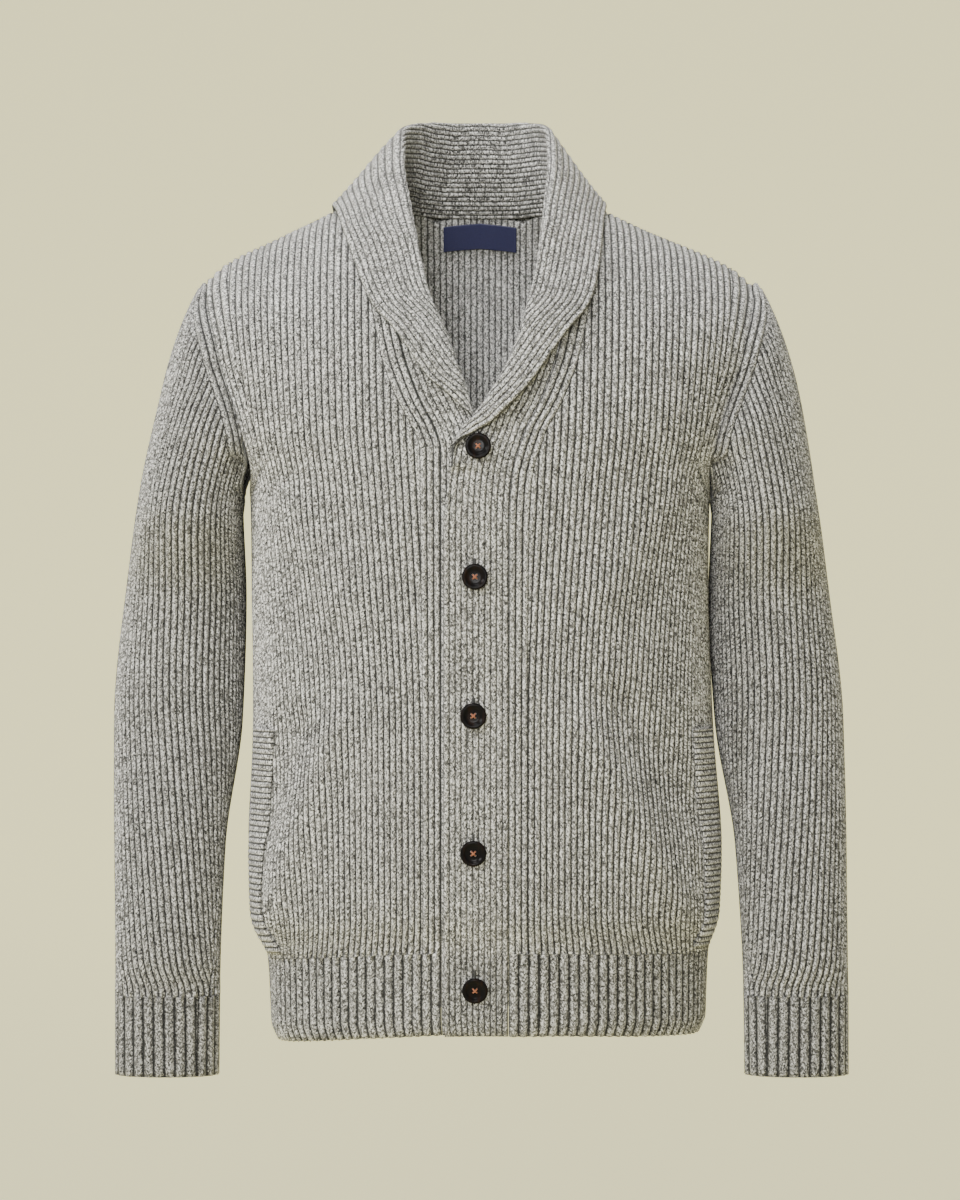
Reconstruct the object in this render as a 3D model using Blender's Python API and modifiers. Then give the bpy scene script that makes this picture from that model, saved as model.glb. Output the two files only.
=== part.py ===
"""Shawl collar cardigan, filled out as if worn.

Metres, +Z up, front at -Y, the wearer's left at +X. The origin is the middle of the neck
opening, level with the neck ends of the shoulder seams. Every knitted piece is a wall
built up row by row: ribbed outer points over a plain inside.
"""
import math

import bmesh
import bpy
import numpy as np
from mathutils import Vector, kdtree

NAME = "shawl_collar_cardigan"

# Cloth
WALL = 0.0020  # between two ribs
RIB = 0.0013  # how far a rib stands above that
OUT = WALL + RIB
GAP = 0.0003  # between pieces at a seam
COLUMN = 0.0030  # half a body rib; three of these ribs turn into two at the hem
EDGE_COLUMNS = 4  # columns that follow a shaped edge
INSIDE_STEP = 6  # columns between two points of the plain inside

# Torso: one line for each level, hem first. Sizes are to the tops of the ribs.
TORSO_COLUMNS = ("height", "drop", "half_width", "front", "back", "middle", "round")
TORSO = (
    (-0.672, 0.00, 0.1775, 0.113, 0.109, 0.000, 2.2),  # 0 hem edge
    (-0.607, 0.00, 0.1805, 0.116, 0.113, 0.000, 2.2),  # 1 hem rib's top
    (-0.575, 0.00, 0.1915, 0.124, 0.119, 0.000, 2.2),  # 2
    (-0.520, 0.00, 0.1938, 0.127, 0.122, 0.000, 2.2),  # 3 hip
    (-0.430, 0.00, 0.1885, 0.127, 0.122, 0.000, 2.2),  # 4 waist
    (-0.330, 0.00, 0.1870, 0.129, 0.125, 0.000, 2.2),  # 5
    (-0.245, 0.03, 0.1880, 0.131, 0.129, 0.000, 2.3),  # 6 underarm
    (-0.190, 0.15, 0.2050, 0.129, 0.131, 0.000, 2.4),  # 7 chest
    (-0.130, 0.40, 0.2220, 0.119, 0.127, 0.002, 2.4),  # 8
    (-0.080, 0.65, 0.2380, 0.100, 0.113, 0.005, 2.4),  # 9
    (-0.038, 0.90, 0.2480, 0.071, 0.084, 0.008, 2.4),  # 10 back neck
    (-0.012, 1.00, 0.2520, 0.042, 0.046, 0.010, 2.4),  # 11
    (0.000, 1.00, 0.2520, 0.0004, 0.0004, 0.010, 2.4),  # 12 shoulder seam
)
HEM_TOP, UNDERARM, BACK_NECK, SHOULDER = 1, 6, 10, 12

# How high the shoulder line runs above the neck point, across from the middle
SHOULDER_LINE = (
    (0.000, 0.0395), (0.030, 0.0360), (0.045, 0.0290), (0.060, 0.0190), (0.083, 0.001),
    (0.102, -0.0055), (0.117, -0.0125), (0.135, -0.0210), (0.153, -0.0285), (0.175, -0.0372),
    (0.194, -0.0455), (0.207, -0.0530), (0.220, -0.0640), (0.232, -0.0770), (0.252, -0.110),
)
# How much higher the right shoulder is, and how much lower the left, across from the middle
SHOULDER_TILT = {
    1: ((0.0, 0.0), (0.13, -0.0022), (0.30, -0.0022)),
    -1: ((0.0, 0.0), (0.07, 0.0), (0.115, 0.0060), (0.145, 0.0050), (0.18, 0.0026), (0.30, 0.0022)),
}
# How the lower body leans to the left and how its sides hang, at each level
LEAN = ((0.0, 0.0072), (1.0, 0.0068), (2.0, 0.0048), (3.0, 0.0042), (4.0, 0.0026), (5.0, 0.0))
SAG = ((0.0, 0.0105), (1.0, 0.0095), (2.0, 0.0050), (3.0, 0.0020), (4.0, 0.0))
SAG_TILT = 0.30  # more of it on the right side, less on the left
# Armhole: share of the torso's depth that it reaches forward and back at each level
ARMHOLE = (
    (6.0, 0.000), (6.25, 0.250), (6.5, 0.385), (7.0, 0.460), (8.0, 0.475),
    (9.0, 0.533), (10.0, 0.557), (11.0, 0.5615), (12.0, 0.554),
)
# Front edge, where the strip of band and collar is sewn on: level and distance across
FRONT_EDGE = (
    (0.0, 0.0222), (5.6, 0.0225), (6.0, 0.0235), (6.3, 0.0258), (6.6, 0.0305), (6.9, 0.0365),
    (7.15, 0.0447), (7.35, 0.0505), (7.85, 0.061), (8.5, 0.068), (9.0, 0.0725),
    (10.0, 0.0785), (11.0, 0.0815), (12.0, 0.083),
)
BACK_EDGE = (
    (10.0, 12 * COLUMN), (10.25, 0.045), (10.5, 0.0555), (11.0, 0.070), (11.5, 0.078),
    (12.0, 0.083),
)
UNDER_EDGE = 0.0312  # the right front stops here, so that its band reaches under the left one
LAP_OVER = 0.00175  # the left edge is this far out
LAP_UNDER = 0.00165  # the right edge is this far in
LAP_FADE = 0.040

# Sleeve: rings from the cuff's edge up, then the cap's rows, one for each torso level
SLEEVE_COLUMNS = ("height", "inner", "outer", "middle", "depth")
SLEEVE = (
    (-0.7120, 0.2155, 0.2995, -0.034, 0.0260),  # 0 cuff edge
    (-0.6480, 0.2148, 0.2997, -0.031, 0.0270),  # 1 cuff's top
    (-0.6200, 0.2143, 0.2998, -0.027, 0.0360),  # 2
    (-0.5250, 0.2087, 0.2998, -0.010, 0.0450),  # 3
    (-0.4250, 0.1930, 0.2988, 0.012, 0.0540),  # 4 elbow
    (-0.3280, 0.1888, 0.2890, 0.024, 0.0620),  # 5
    (-0.2520, 0.1900, 0.2765, 0.000, 0.0700),  # 6 underarm
    (-0.1990, 0.1755, 0.2685, 0.000, 0.0690),  # 7
    (-0.1550, 0.1655, 0.2605, 0.001, 0.0640),  # 8
    (-0.1280, 0.1745, 0.2535, 0.003, 0.0590),  # 9
    (-0.0995, 0.1973, 0.2437, 0.006, 0.0460),  # 10
    (-0.0760, 0.2140, 0.2330, 0.009, 0.0260),  # 11
    (-0.0680, 0.2235, 0.2255, 0.010, 0.0030),  # 12 shoulder point
)
SLEEVE_ROUND = 2.2
# How far out each sleeve hangs beyond the table, by level
SLEEVE_LEAN = {
    1: ((0, -0.0010), (2, -0.0010), (4, 0.0), (12, 0.0)),
    -1: ((0, -0.0040), (2, -0.0035), (3, -0.0010), (4, 0.0022), (5, 0.0042), (6, 0.0042),
         (8, 0.0), (12, 0.0)),
}
SLEEVE_COLUMN = 0.0034
UNDERARM_SHIFT = np.array([0.0056, 0, 0.0046])  # of the cap's lowest corner from the armhole
UNDERARM_NORMAL = np.array([-0.35, 0, -0.94])  # which way the cloth faces there
CAP_BLEND = 0.055  # from the armhole seam, how far the cap takes the seam's shape

# Collar: a line for each station from the break point to the middle of the back. The seam
# is where the strip is sewn on, the fold is its roll, and the edge is where the fall ends.
# A fold_y of 0 lies on the chest. Stations after SIDE_STATION are on the back.
COLLAR_COLUMNS = ("seam_level", "fold_x", "fold_y", "fold_z", "edge_across", "edge_level")
COLLAR = (
    (6.30, -0.0240, 0.000, -0.2225, -0.0190, 6.45),  # 0 break point
    (6.42, -0.0212, 0.000, -0.2075, -0.0150, 6.65),  # 1
    (6.52, -0.0132, 0.000, -0.1925, -0.0020, 6.82),  # 2
    (6.60, -0.0039, 0.000, -0.1824, 0.0070, 6.90),  # 3
    (6.90, 0.0047, 0.000, -0.1707, 0.0171, 7.05),  # 4
    (7.15, 0.0157, 0.000, -0.1534, 0.0310, 7.25),  # 5
    (7.50, 0.0236, 0.000, -0.1384, 0.0440, 7.50),  # 6
    (8.00, 0.0332, 0.000, -0.1084, 0.0680, 8.15),  # 7
    (8.50, 0.0396, -0.1060, -0.0863, 0.0835, 8.72),  # 8
    (9.50, 0.0478, -0.0870, -0.0443, 0.0965, 9.75),  # 9
    (11.00, 0.0530, -0.0630, -0.0066, 0.1035, 10.95),  # 10
    (12.00, 0.0570, -0.0300, 0.0300, 0.1080, 12.00),  # 11 side, at the shoulder seam
    (11.50, 0.0560, 0.0060, 0.0560, 0.1060, 11.10),  # 12
    (11.00, 0.0500, 0.0380, 0.0670, 0.0960, 10.35),  # 13
    (10.50, 0.0370, 0.0600, 0.0710, 0.0700, 9.90),  # 14
    (10.00, 0.0190, 0.0730, 0.0725, 0.0370, 9.72),  # 15
    (10.00, 0.0000, 0.0770, 0.0730, 0.0000, 9.70),  # 16 middle of the back
)
SIDE_STATION, LAST_SEAM_STATION, BACK_STATION = 11, 15, 16
UNDER_BREAK = 3  # the lower half's break point is at this station
# There its fold differs from the table: station, fold_x and fold_z
UNDER_FOLD = {
    3: (-0.0016, -0.2031), 4: (0.0043, -0.1853), 5: (0.0097, -0.1645), 6: (0.0190, -0.1391),
    7: (0.0303, -0.1072),
}
FALL_STATION = 8  # from here to the back, the same ribs lie between the free edge and the fold
ROLL_SPAN = {1: 1.6, -1: 1.2}  # stations over which each half rolls from flat to folded
# The collar leans to the right: how far out its edge and fold are, at each station
EDGE_SPREAD = {
    1: ((0, 1.0), (7, 1.0), (8, 1.03), (9, 0.985), (10, 0.955), (12, 0.93), (14, 0.95), (16, 1.0)),
    -1: ((0, 0.64), (4, 0.64), (5, 0.77), (6, 0.97), (7, 0.98), (8, 1.04), (10, 1.09),
         (12, 1.10), (14, 1.07), (16, 1.0)),
}
FOLD_SPREAD = {
    1: ((0, 1.0), (16, 1.0)),
    -1: ((0, 1.0), (8, 1.0), (10, 1.08), (12, 1.13), (14, 1.08), (16, 1.0)),
}
COLLAR_WALL = 0.0022
COLLAR_RIB = 0.0008
COLLAR_COLUMN = 0.0034
ROLL = 0.0037  # radius of the fold, to the face that shows
EDGE_LIFT = 0.0080  # the fall's face above the inside of the panel that it lies on
FALL_CLEAR = OUT + COLLAR_WALL + 0.0017  # never less than this above it
FALL_BULGE = {  # of the fall's length, at each station
    1: ((0, 0.045), (12, 0.045), (16, 0.06)),
    -1: ((0, 0.085), (9, 0.085), (11, 0.060), (16, 0.06)),
}
STAND_BEND = 0.30  # of the stand's length, in which it turns up from the panel
STAND_TIGHTER = 0.14  # how much finer the stand's ribs are round the neck
FOLD_KEY, SEAM_KEY = 400, 1000  # column numbers of the collar's fold and seam

# Bands
BAND_FREE = -0.0285  # the upper band's free edge
BAND_UNDER_FREE = 0.0205  # the lower band's free edge
BAND_WALL = 0.0016
BAND_RIB = 0.0005
BAND_COLUMN = 0.0022
BAND_LEVELS = (0.0, 1.0, 2.4, 4.0, 5.99)

# Pocket welts
WELT_BOTTOM, WELT_TOP = -0.601, -0.432
WELT_INNER_BOTTOM, WELT_INNER_TOP = 0.056, 0.066  # from the side seam, along the cloth
WELT_OUTER = 0.028
WELT_WALL = 0.0018
WELT_RIB = 0.0007
WELT_RIBS = 28
WELT_LINES = 3
LAID_GAP = 0.0008  # between a panel's ribs and what lies on it

# Buttons
BUTTON_PLACES = (  # across, height, and how far its back is above the inside of the band
    (-0.0015, -0.2075, 0.0042), (-0.0040, -0.3098, 0.0025), (-0.0052, -0.4190, 0.0025),
    (-0.0052, -0.5268, 0.0025), (-0.0040, -0.6351, 0.0025),
)
BUTTON_PROFILE = (  # radius and height, from the middle of the face round to the back
    (0.0000, 0.0023), (0.0060, 0.0023), (0.0073, 0.0035), (0.0092, 0.0036),
    (0.01025, 0.0022), (0.0086, 0.0000), (0.0000, 0.0000),
)
BUTTON_STEPS = 14
HOLE_SPREAD = 0.0016  # of each hole's middle from the button's, both ways
HOLE_RADIUS = 0.0009
HOLE_SIDES = 5

# Neck label
LABEL_HALF_WIDTH = 0.031
LABEL_LEVELS = (9.50, 9.91)
LABEL_THICK = 0.0006
LABEL_GAP = 0.0008

# Levels at which the solids have a row
ROWS_BELOW = (0.0, 1.0, 1.1, 2.4, 4.0, 5.99)
ROWS_ABOVE = (6.4, 7.1, 8.0, 9.0, 10.0, 11.0, 12.0)
SLEEVE_ROWS = (0.0, 1.0, 1.3, 2.5, 4.0, 5.0, 6.0, 6.4, 7.1, 8.0, 9.0, 10.0, 11.0, 11.8)

# Colours and finish
COLOURS = {
    "marl_knit": ((0.36, 0.35, 0.33), 0.9, 0.0),
    "horn_button": ((0.012, 0.010, 0.009), 0.28, 0.0),
    "label_cloth": ((0.020, 0.022, 0.085), 0.6, 0.0),
}


def smooth(knots, values, at):
    """Values between knots, on a curve that never swings past them."""
    knots, values, at = (np.asarray(a, float) for a in (knots, values, at))
    step = np.diff(knots)
    slope = np.diff(values) / step
    left, right = slope[:-1], slope[1:]
    same_way = left * right > 0
    total = np.where(same_way, left + right, 1.0)
    inner = np.where(same_way, 2 * left * right / total, 0.0)
    tangent = np.concatenate([[slope[0]], inner, [slope[-1]]])
    i = np.clip(np.searchsorted(knots, at, side="right") - 1, 0, len(step) - 1)
    u = np.clip((at - knots[i]) / step[i], 0.0, 1.0)
    start = (1 + 2 * u) * (1 - u) ** 2 * values[i] + u * (1 - u) ** 2 * step[i] * tangent[i]
    end = u * u * (3 - 2 * u) * values[i + 1] - u * u * (1 - u) * step[i] * tangent[i + 1]
    return start + end


def pairs(table, at):
    """A table of two columns, read at any place."""
    knots, values = zip(*table)
    return smooth(knots, values, at)


def column(table, names, name, at):
    """One named column of a table with a line for each level, read at any level."""
    values = [line[names.index(name)] for line in table]
    return smooth(range(len(table)), values, at)


def soft_step(u):
    """0 to 1, level at both ends."""
    u = np.clip(u, 0.0, 1.0)
    return u * u * (3 - 2 * u)


def unit(vectors):
    """Each vector at length 1."""
    return vectors / np.maximum(np.linalg.norm(vectors, axis=-1, keepdims=True), 1e-12)


def power(value, exponent):
    """A power that keeps the sign."""
    return np.sign(value) * np.abs(value) ** exponent


def folds(x, z, front):
    """How far the cloth's largest folds stand out, at a place on the torso."""
    def ridge(start, end, width, height):
        along = np.array(end) - np.array(start)
        length = np.linalg.norm(along)
        along = along / length
        u = ((x - start[0]) * along[0] + (z - start[1]) * along[1]) / length
        off = (x - start[0]) * along[1] - (z - start[1]) * along[0]
        fade = soft_step(u / 0.3 + 0.5) * soft_step((1 - u) / 0.3 + 0.5)
        return height * fade * np.exp(-((off / width) ** 2))

    if front:
        return (
            ridge((0.075, -0.415), (0.168, -0.590), 0.016, 0.0040)
            - ridge((0.105, -0.400), (0.178, -0.510), 0.018, 0.0028)
            + ridge((-0.110, -0.415), (-0.168, -0.590), 0.015, 0.0036)
            - ridge((-0.140, -0.420), (-0.175, -0.520), 0.016, 0.0024)
            + ridge((0.150, -0.230), (0.095, -0.330), 0.020, 0.0022)
            + ridge((-0.150, -0.240), (-0.100, -0.340), 0.020, 0.0020)
        )
    return (
        ridge((0.040, -0.560), (0.150, -0.430), 0.020, 0.0040)
        + ridge((-0.060, -0.585), (-0.155, -0.480), 0.018, 0.0034)
        - ridge((0.000, -0.560), (0.010, -0.360), 0.032, 0.0036)
        + ridge((0.145, -0.200), (0.080, -0.320), 0.022, 0.0030)
        + ridge((-0.145, -0.200), (-0.085, -0.310), 0.022, 0.0028)
    )


class Sheet:
    """A smooth surface kept as a grid of points and normals, read between its points."""

    def __init__(self, levels, points):
        self.top = levels[-1]
        self.points = points
        self.normals = self.find_normals(points)

    @staticmethod
    def find_normals(points):
        up = np.gradient(points, axis=0)
        across = np.gradient(points, axis=1)
        return unit(np.cross(across, up))

    def read(self, level, share):
        """Points and normals at a level and a share of the way across, from 0 to 1."""
        rows, columns = self.points.shape[:2]
        level, share = np.broadcast_arrays(np.asarray(level, float), share)
        a = np.clip(level / self.top, 0, 1) * (rows - 1)
        b = np.clip(share, 0, 1) * (columns - 1)
        i = np.minimum(a.astype(int), rows - 2)
        j = np.minimum(b.astype(int), columns - 2)
        u, v = (a - i)[..., None], (b - j)[..., None]
        out = []
        for grid in (self.points, self.normals):
            low = grid[i, j] * (1 - v) + grid[i, j + 1] * v
            high = grid[i + 1, j] * (1 - v) + grid[i + 1, j + 1] * v
            out.append(low * (1 - u) + high * u)
        return out[0], unit(out[1])


# How finely the smooth surfaces are kept
FINE_LEVELS = np.linspace(0, SHOULDER, 241)
AROUND = 301
SLEEVE_AROUND, SLEEVE_FINE = 181, 400


def torso_half(side):
    """Half the torso as a sheet, from the middle of the front round to that of the back."""
    angle = np.linspace(0, math.pi, 241)
    points = np.zeros((len(FINE_LEVELS), AROUND, 3))
    lengths = np.zeros((len(FINE_LEVELS), 2))
    for row, level in enumerate(FINE_LEVELS):
        height, drop, half_width, front, back, middle, roundness = (
            float(column(TORSO, TORSO_COLUMNS, name, level)) for name in TORSO_COLUMNS)
        x = (half_width - OUT) * power(np.sin(angle), 2 / roundness)
        y = -power(np.cos(angle), 2 / roundness)
        depth = np.where(y < 0, front, back) - OUT * min(1.0, front / 0.05)
        y = middle + y * np.maximum(depth, 0.0003)
        steps = np.concatenate([[0], np.cumsum(np.hypot(np.diff(x), np.diff(y)))])
        lengths[row] = np.interp(math.pi / 2, angle, steps), steps[-1]
        even = np.linspace(0, steps[-1], AROUND)
        x, y = np.interp(even, steps, x), np.interp(even, steps, y)
        shoulder = pairs(SHOULDER_LINE, x) + pairs(SHOULDER_TILT[side], x)
        z = height - OUT * soft_step((level - 8) / 3) + drop * shoulder
        at_side = (x / half_width) ** 2
        z = z - float(pairs(SAG, min(level, 4.0))) * (1 - side * SAG_TILT) * at_side
        x = side * x + float(pairs(LEAN, min(level, 5.0))) * at_side
        points[row] = np.stack([x, y, z], axis=-1)
    sheet = Sheet(FINE_LEVELS, points)
    normals = sheet.normals * side
    normals[:, (0, -1), 0] = 0
    normals[-1, :, 1] = 0
    sheet.normals = unit(normals)
    share_of_front = lengths[:, :1] / lengths[:, 1:]
    on_front = np.linspace(0, 1, AROUND)[None, :] < share_of_front
    push = np.where(on_front, folds(points[..., 0], points[..., 2], True),
                    folds(points[..., 0], points[..., 2], False))
    at_side = np.abs(np.linspace(0, 1, AROUND)[None, :] - share_of_front)
    push = push * soft_step(at_side / 0.08) * soft_step(FINE_LEVELS / 1.5)[:, None]
    sheet.points = points + sheet.normals * push[..., None]
    return sheet, lengths


TORSO_HALVES = {side: torso_half(side) for side in (1, -1)}
FRONT_LENGTH, HALF_LENGTH = TORSO_HALVES[1][1].T


def quarter(level, behind):
    """From the middle to the side seam, along the cloth."""
    front = np.interp(level, FINE_LEVELS, FRONT_LENGTH)
    return np.interp(level, FINE_LEVELS, HALF_LENGTH) - front if behind else front


def torso(level, along, behind):
    """Inside points and outward normals at a distance along the cloth from the middle."""
    level, along = np.broadcast_arrays(np.asarray(level, float), np.asarray(along, float))
    whole = np.interp(level, FINE_LEVELS, HALF_LENGTH)
    share = np.abs(along) / whole
    share = 1 - share if behind else share
    left, right = (TORSO_HALVES[side][0].read(level, share) for side in (1, -1))
    on_left = (along >= 0)[..., None]
    return np.where(on_left, left[0], right[0]), np.where(on_left, left[1], right[1])


def along_at(level, across, behind):
    """The distance along the cloth at which the torso is this far across."""
    tries = np.linspace(0, float(quarter(level, behind)), 400)
    x = (torso(level, tries, behind)[0][:, 0] - torso(level, -tries, behind)[0][:, 0]) / 2
    return float(np.interp(across, x, tries))


def armhole(level, behind):
    """Where the armhole's edge is at a level, along the cloth."""
    half_width = float(column(TORSO, TORSO_COLUMNS, "half_width", level)) - OUT
    roundness = float(column(TORSO, TORSO_COLUMNS, "round", level))
    share = float(pairs(ARMHOLE, level))
    across = half_width * (1 - share**roundness) ** (1 / roundness)
    if share < 0.001:
        return float(quarter(level, behind))
    return along_at(level, across, behind)


def panel_end(level, behind):
    """A panel's outer edge: the side seam, then the armhole."""
    if level < UNDERARM - 0.005:
        return float(quarter(level, behind)) - GAP / 2
    return armhole(min(level + 0.012, SHOULDER), behind) - GAP


def front_edge(level):
    """The front's edge along the cloth, where the strip is sewn on."""
    return along_at(level, float(pairs(FRONT_EDGE, level)), False)


def lap(side, along):
    """How far the two fronts are pushed apart where one laps over the other."""
    amount = LAP_OVER if side > 0 else -LAP_UNDER
    return amount * (1 - soft_step((np.abs(along) - UNDER_EDGE) / LAP_FADE))


class Wall:
    """Points and faces of one piece, made row by row."""

    def __init__(self):
        self.points = []
        self.faces = []

    def put(self, keys, along, points):
        """Adds points. Gives back a chain of (key, distance along, number)."""
        first = len(self.points)
        self.points.extend(map(tuple, points))
        return list(zip(keys, along, range(first, first + len(points))))

    def sew(self, low, high, by=0):
        """Faces between two chains, going up whichever has the nearer next key."""
        i = j = 0
        while i < len(low) - 1 or j < len(high) - 1:
            last_high = j == len(high) - 1
            if last_high or (i < len(low) - 1 and low[i + 1][by] <= high[j + 1][by] + 1e-7):
                self.faces.append((low[i][2], low[i + 1][2], high[j][2]))
                i += 1
            else:
                self.faces.append((low[i][2], high[j + 1][2], high[j][2]))
                j += 1

    def join(self, low, high, sides=(True, True)):
        """The cloth between two rows, each a list of outer chains and one inner chain."""
        for a, b in zip(low[0], high[0]):
            self.sew(a, b)
        self.sew(low[1], high[1])
        for wanted, end in zip(sides, (0, -1)):
            if wanted:
                a, b = low[0][end][end][2], high[0][end][end][2]
                c, d = low[1][end][2], high[1][end][2]
                self.faces += [(a, b, d), (a, d, c)]

    def close(self, row):
        """The edge of the cloth along a row, between its outer and inner points."""
        outer = [point for chain in row[0] for point in chain]
        outer = [p for k, p in enumerate(outer) if k == 0 or p[2] != outer[k - 1][2]]
        self.sew(outer, row[1], by=1)


def rib(index):
    """1 on a rib, 0 between ribs."""
    return np.asarray(index) % 2 * 1.0


def row_columns(first, last, step, origin):
    """Distances along a row and which column each is, in three stretches."""
    edge = np.arange(EDGE_COLUMNS + 1)
    left = first + step * edge
    right = last - step * edge[::-1]
    start = math.ceil((left[-1] - origin) / step + 0.35)
    stop = math.floor((right[0] - origin) / step - 0.35)
    middle = np.arange(start, stop + 1)
    return [
        (edge, left, edge),
        (None, np.concatenate([[left[-1]], origin + step * middle, [right[0]]]),
         np.concatenate([edge[:1], middle, edge[:1]])),
        (edge, right, edge[::-1]),
    ]


def panel_row(wall, place, first, last, wide=False, origin=0.0, step=COLUMN):
    """One row of a ribbed panel. place gives inside points and normals along the row."""
    chains = []
    for number, (keys, along, index) in enumerate(
            row_columns(first, last, step * (1.5 if wide else 1.0), origin)):
        points, normals = place(along)
        points = points + normals * (WALL + RIB * rib(index))[:, None]
        keys = along if keys is None else keys
        if number:
            made = wall.put(keys[1:], along[1:], points[1:])
            made.insert(0, (keys[0], along[0], chains[-1][-1][2]))
        else:
            made = wall.put(keys, along, points)
        chains.append(made)
    inner_step = INSIDE_STEP * step
    inner = np.arange(math.ceil((first - origin) / inner_step + 0.3),
                      math.floor((last - origin) / inner_step - 0.3) + 1)
    inner = np.concatenate([[first], origin + inner_step * inner, [last]])
    return chains, wall.put(inner, inner, place(inner)[0])


def material_of(name):
    """A plain finish with its colour, roughness and metal value."""
    made = bpy.data.materials.get(name)
    if made is None:
        colour, roughness, metallic = COLOURS[name]
        made = bpy.data.materials.new(name)
        made.use_nodes = True
        shader = made.node_tree.nodes["Principled BSDF"]
        shader.inputs["Base Color"].default_value = (*colour, 1.0)
        shader.inputs["Roughness"].default_value = roughness
        shader.inputs["Metallic"].default_value = metallic
    return made


def object_of(name, wall, finish, collection):
    """The wall's points and faces as a named object."""
    mesh = bpy.data.meshes.new(name)
    mesh.from_pydata(wall.points, [], wall.faces)
    shape = bmesh.new()
    shape.from_mesh(mesh)
    bmesh.ops.recalc_face_normals(shape, faces=shape.faces)
    shape.to_mesh(mesh)
    shape.free()
    mesh.materials.append(material_of(finish))
    made = bpy.data.objects.new(name, mesh)
    collection.objects.link(made)
    return made


def build_back(collection):
    """The back: whole rows up to the neck, then one stretch at each shoulder."""
    wall = Wall()
    rows = []
    for level in ROWS_BELOW + ROWS_ABOVE[:ROWS_ABOVE.index(BACK_NECK) + 1]:
        end = panel_end(level, True)
        rows.append(panel_row(wall, lambda q, t=level: torso(t, q, True), -end, end,
                              level <= HEM_TOP))
    wall.close(rows[0])
    for low, high in zip(rows, rows[1:]):
        wall.join(low, high)
    neck_row, neck = rows[-1], pairs(BACK_EDGE, BACK_NECK)
    outer, inner = neck_row[0][1], neck_row[1]
    wall.sew([p for p in outer if abs(p[1]) < neck + 1e-5],
             [p for p in inner if abs(p[1]) < neck + 1e-5], by=1)
    shaped = neck + EDGE_COLUMNS * COLUMN
    for side in (-1, 1):
        def mine(chain, low, high):
            return [p for p in chain if low - 1e-5 < side * p[1] < high + 1e-5]
        near = mine(outer, neck, shaped)
        far = mine(outer, shaped, 1.0)
        end_chain = neck_row[0][2] if side > 0 else neck_row[0][0]
        near = [(k, p[1], p[2]) for k, p in enumerate(near)]
        chains = [near, far, end_chain] if side > 0 else [end_chain, far, near]
        low = (chains, mine(inner, neck, 1.0))
        for level in ROWS_ABOVE[ROWS_ABOVE.index(BACK_NECK) + 1:]:
            start = along_at(level, float(pairs(BACK_EDGE, level)), True)
            end = panel_end(level, True)
            first, last = (start, end) if side > 0 else (-end, -start)
            high = panel_row(wall, lambda q, t=level: torso(t, q, True), first, last, False)
            wall.join(low, high)
            low = high
        wall.close(low)
    return object_of("back", wall, "marl_knit", collection)


def front_place(level, side):
    """Places on a front panel's row, with its lap at the placket."""
    def place(along):
        points, normals = torso(level, side * np.asarray(along), False)
        return points + normals * lap(side, along)[:, None], normals
    return place


def build_front(side, collection):
    """One front, from its edge at the strip out to the side seam and armhole."""
    wall = Wall()
    low = None
    for level in ROWS_BELOW + ROWS_ABOVE:
        start = front_edge(level) + GAP / 2
        if side < 0:
            start = max(start, UNDER_EDGE)
        row = panel_row(wall, front_place(level, side), start, panel_end(level, False),
                        level <= HEM_TOP, origin=front_edge(0.0))
        if low:
            wall.join(low, row)
        else:
            wall.close(row)
        low = row
    wall.close(low)
    return object_of("front_left" if side > 0 else "front_right", wall, "marl_knit", collection)


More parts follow.
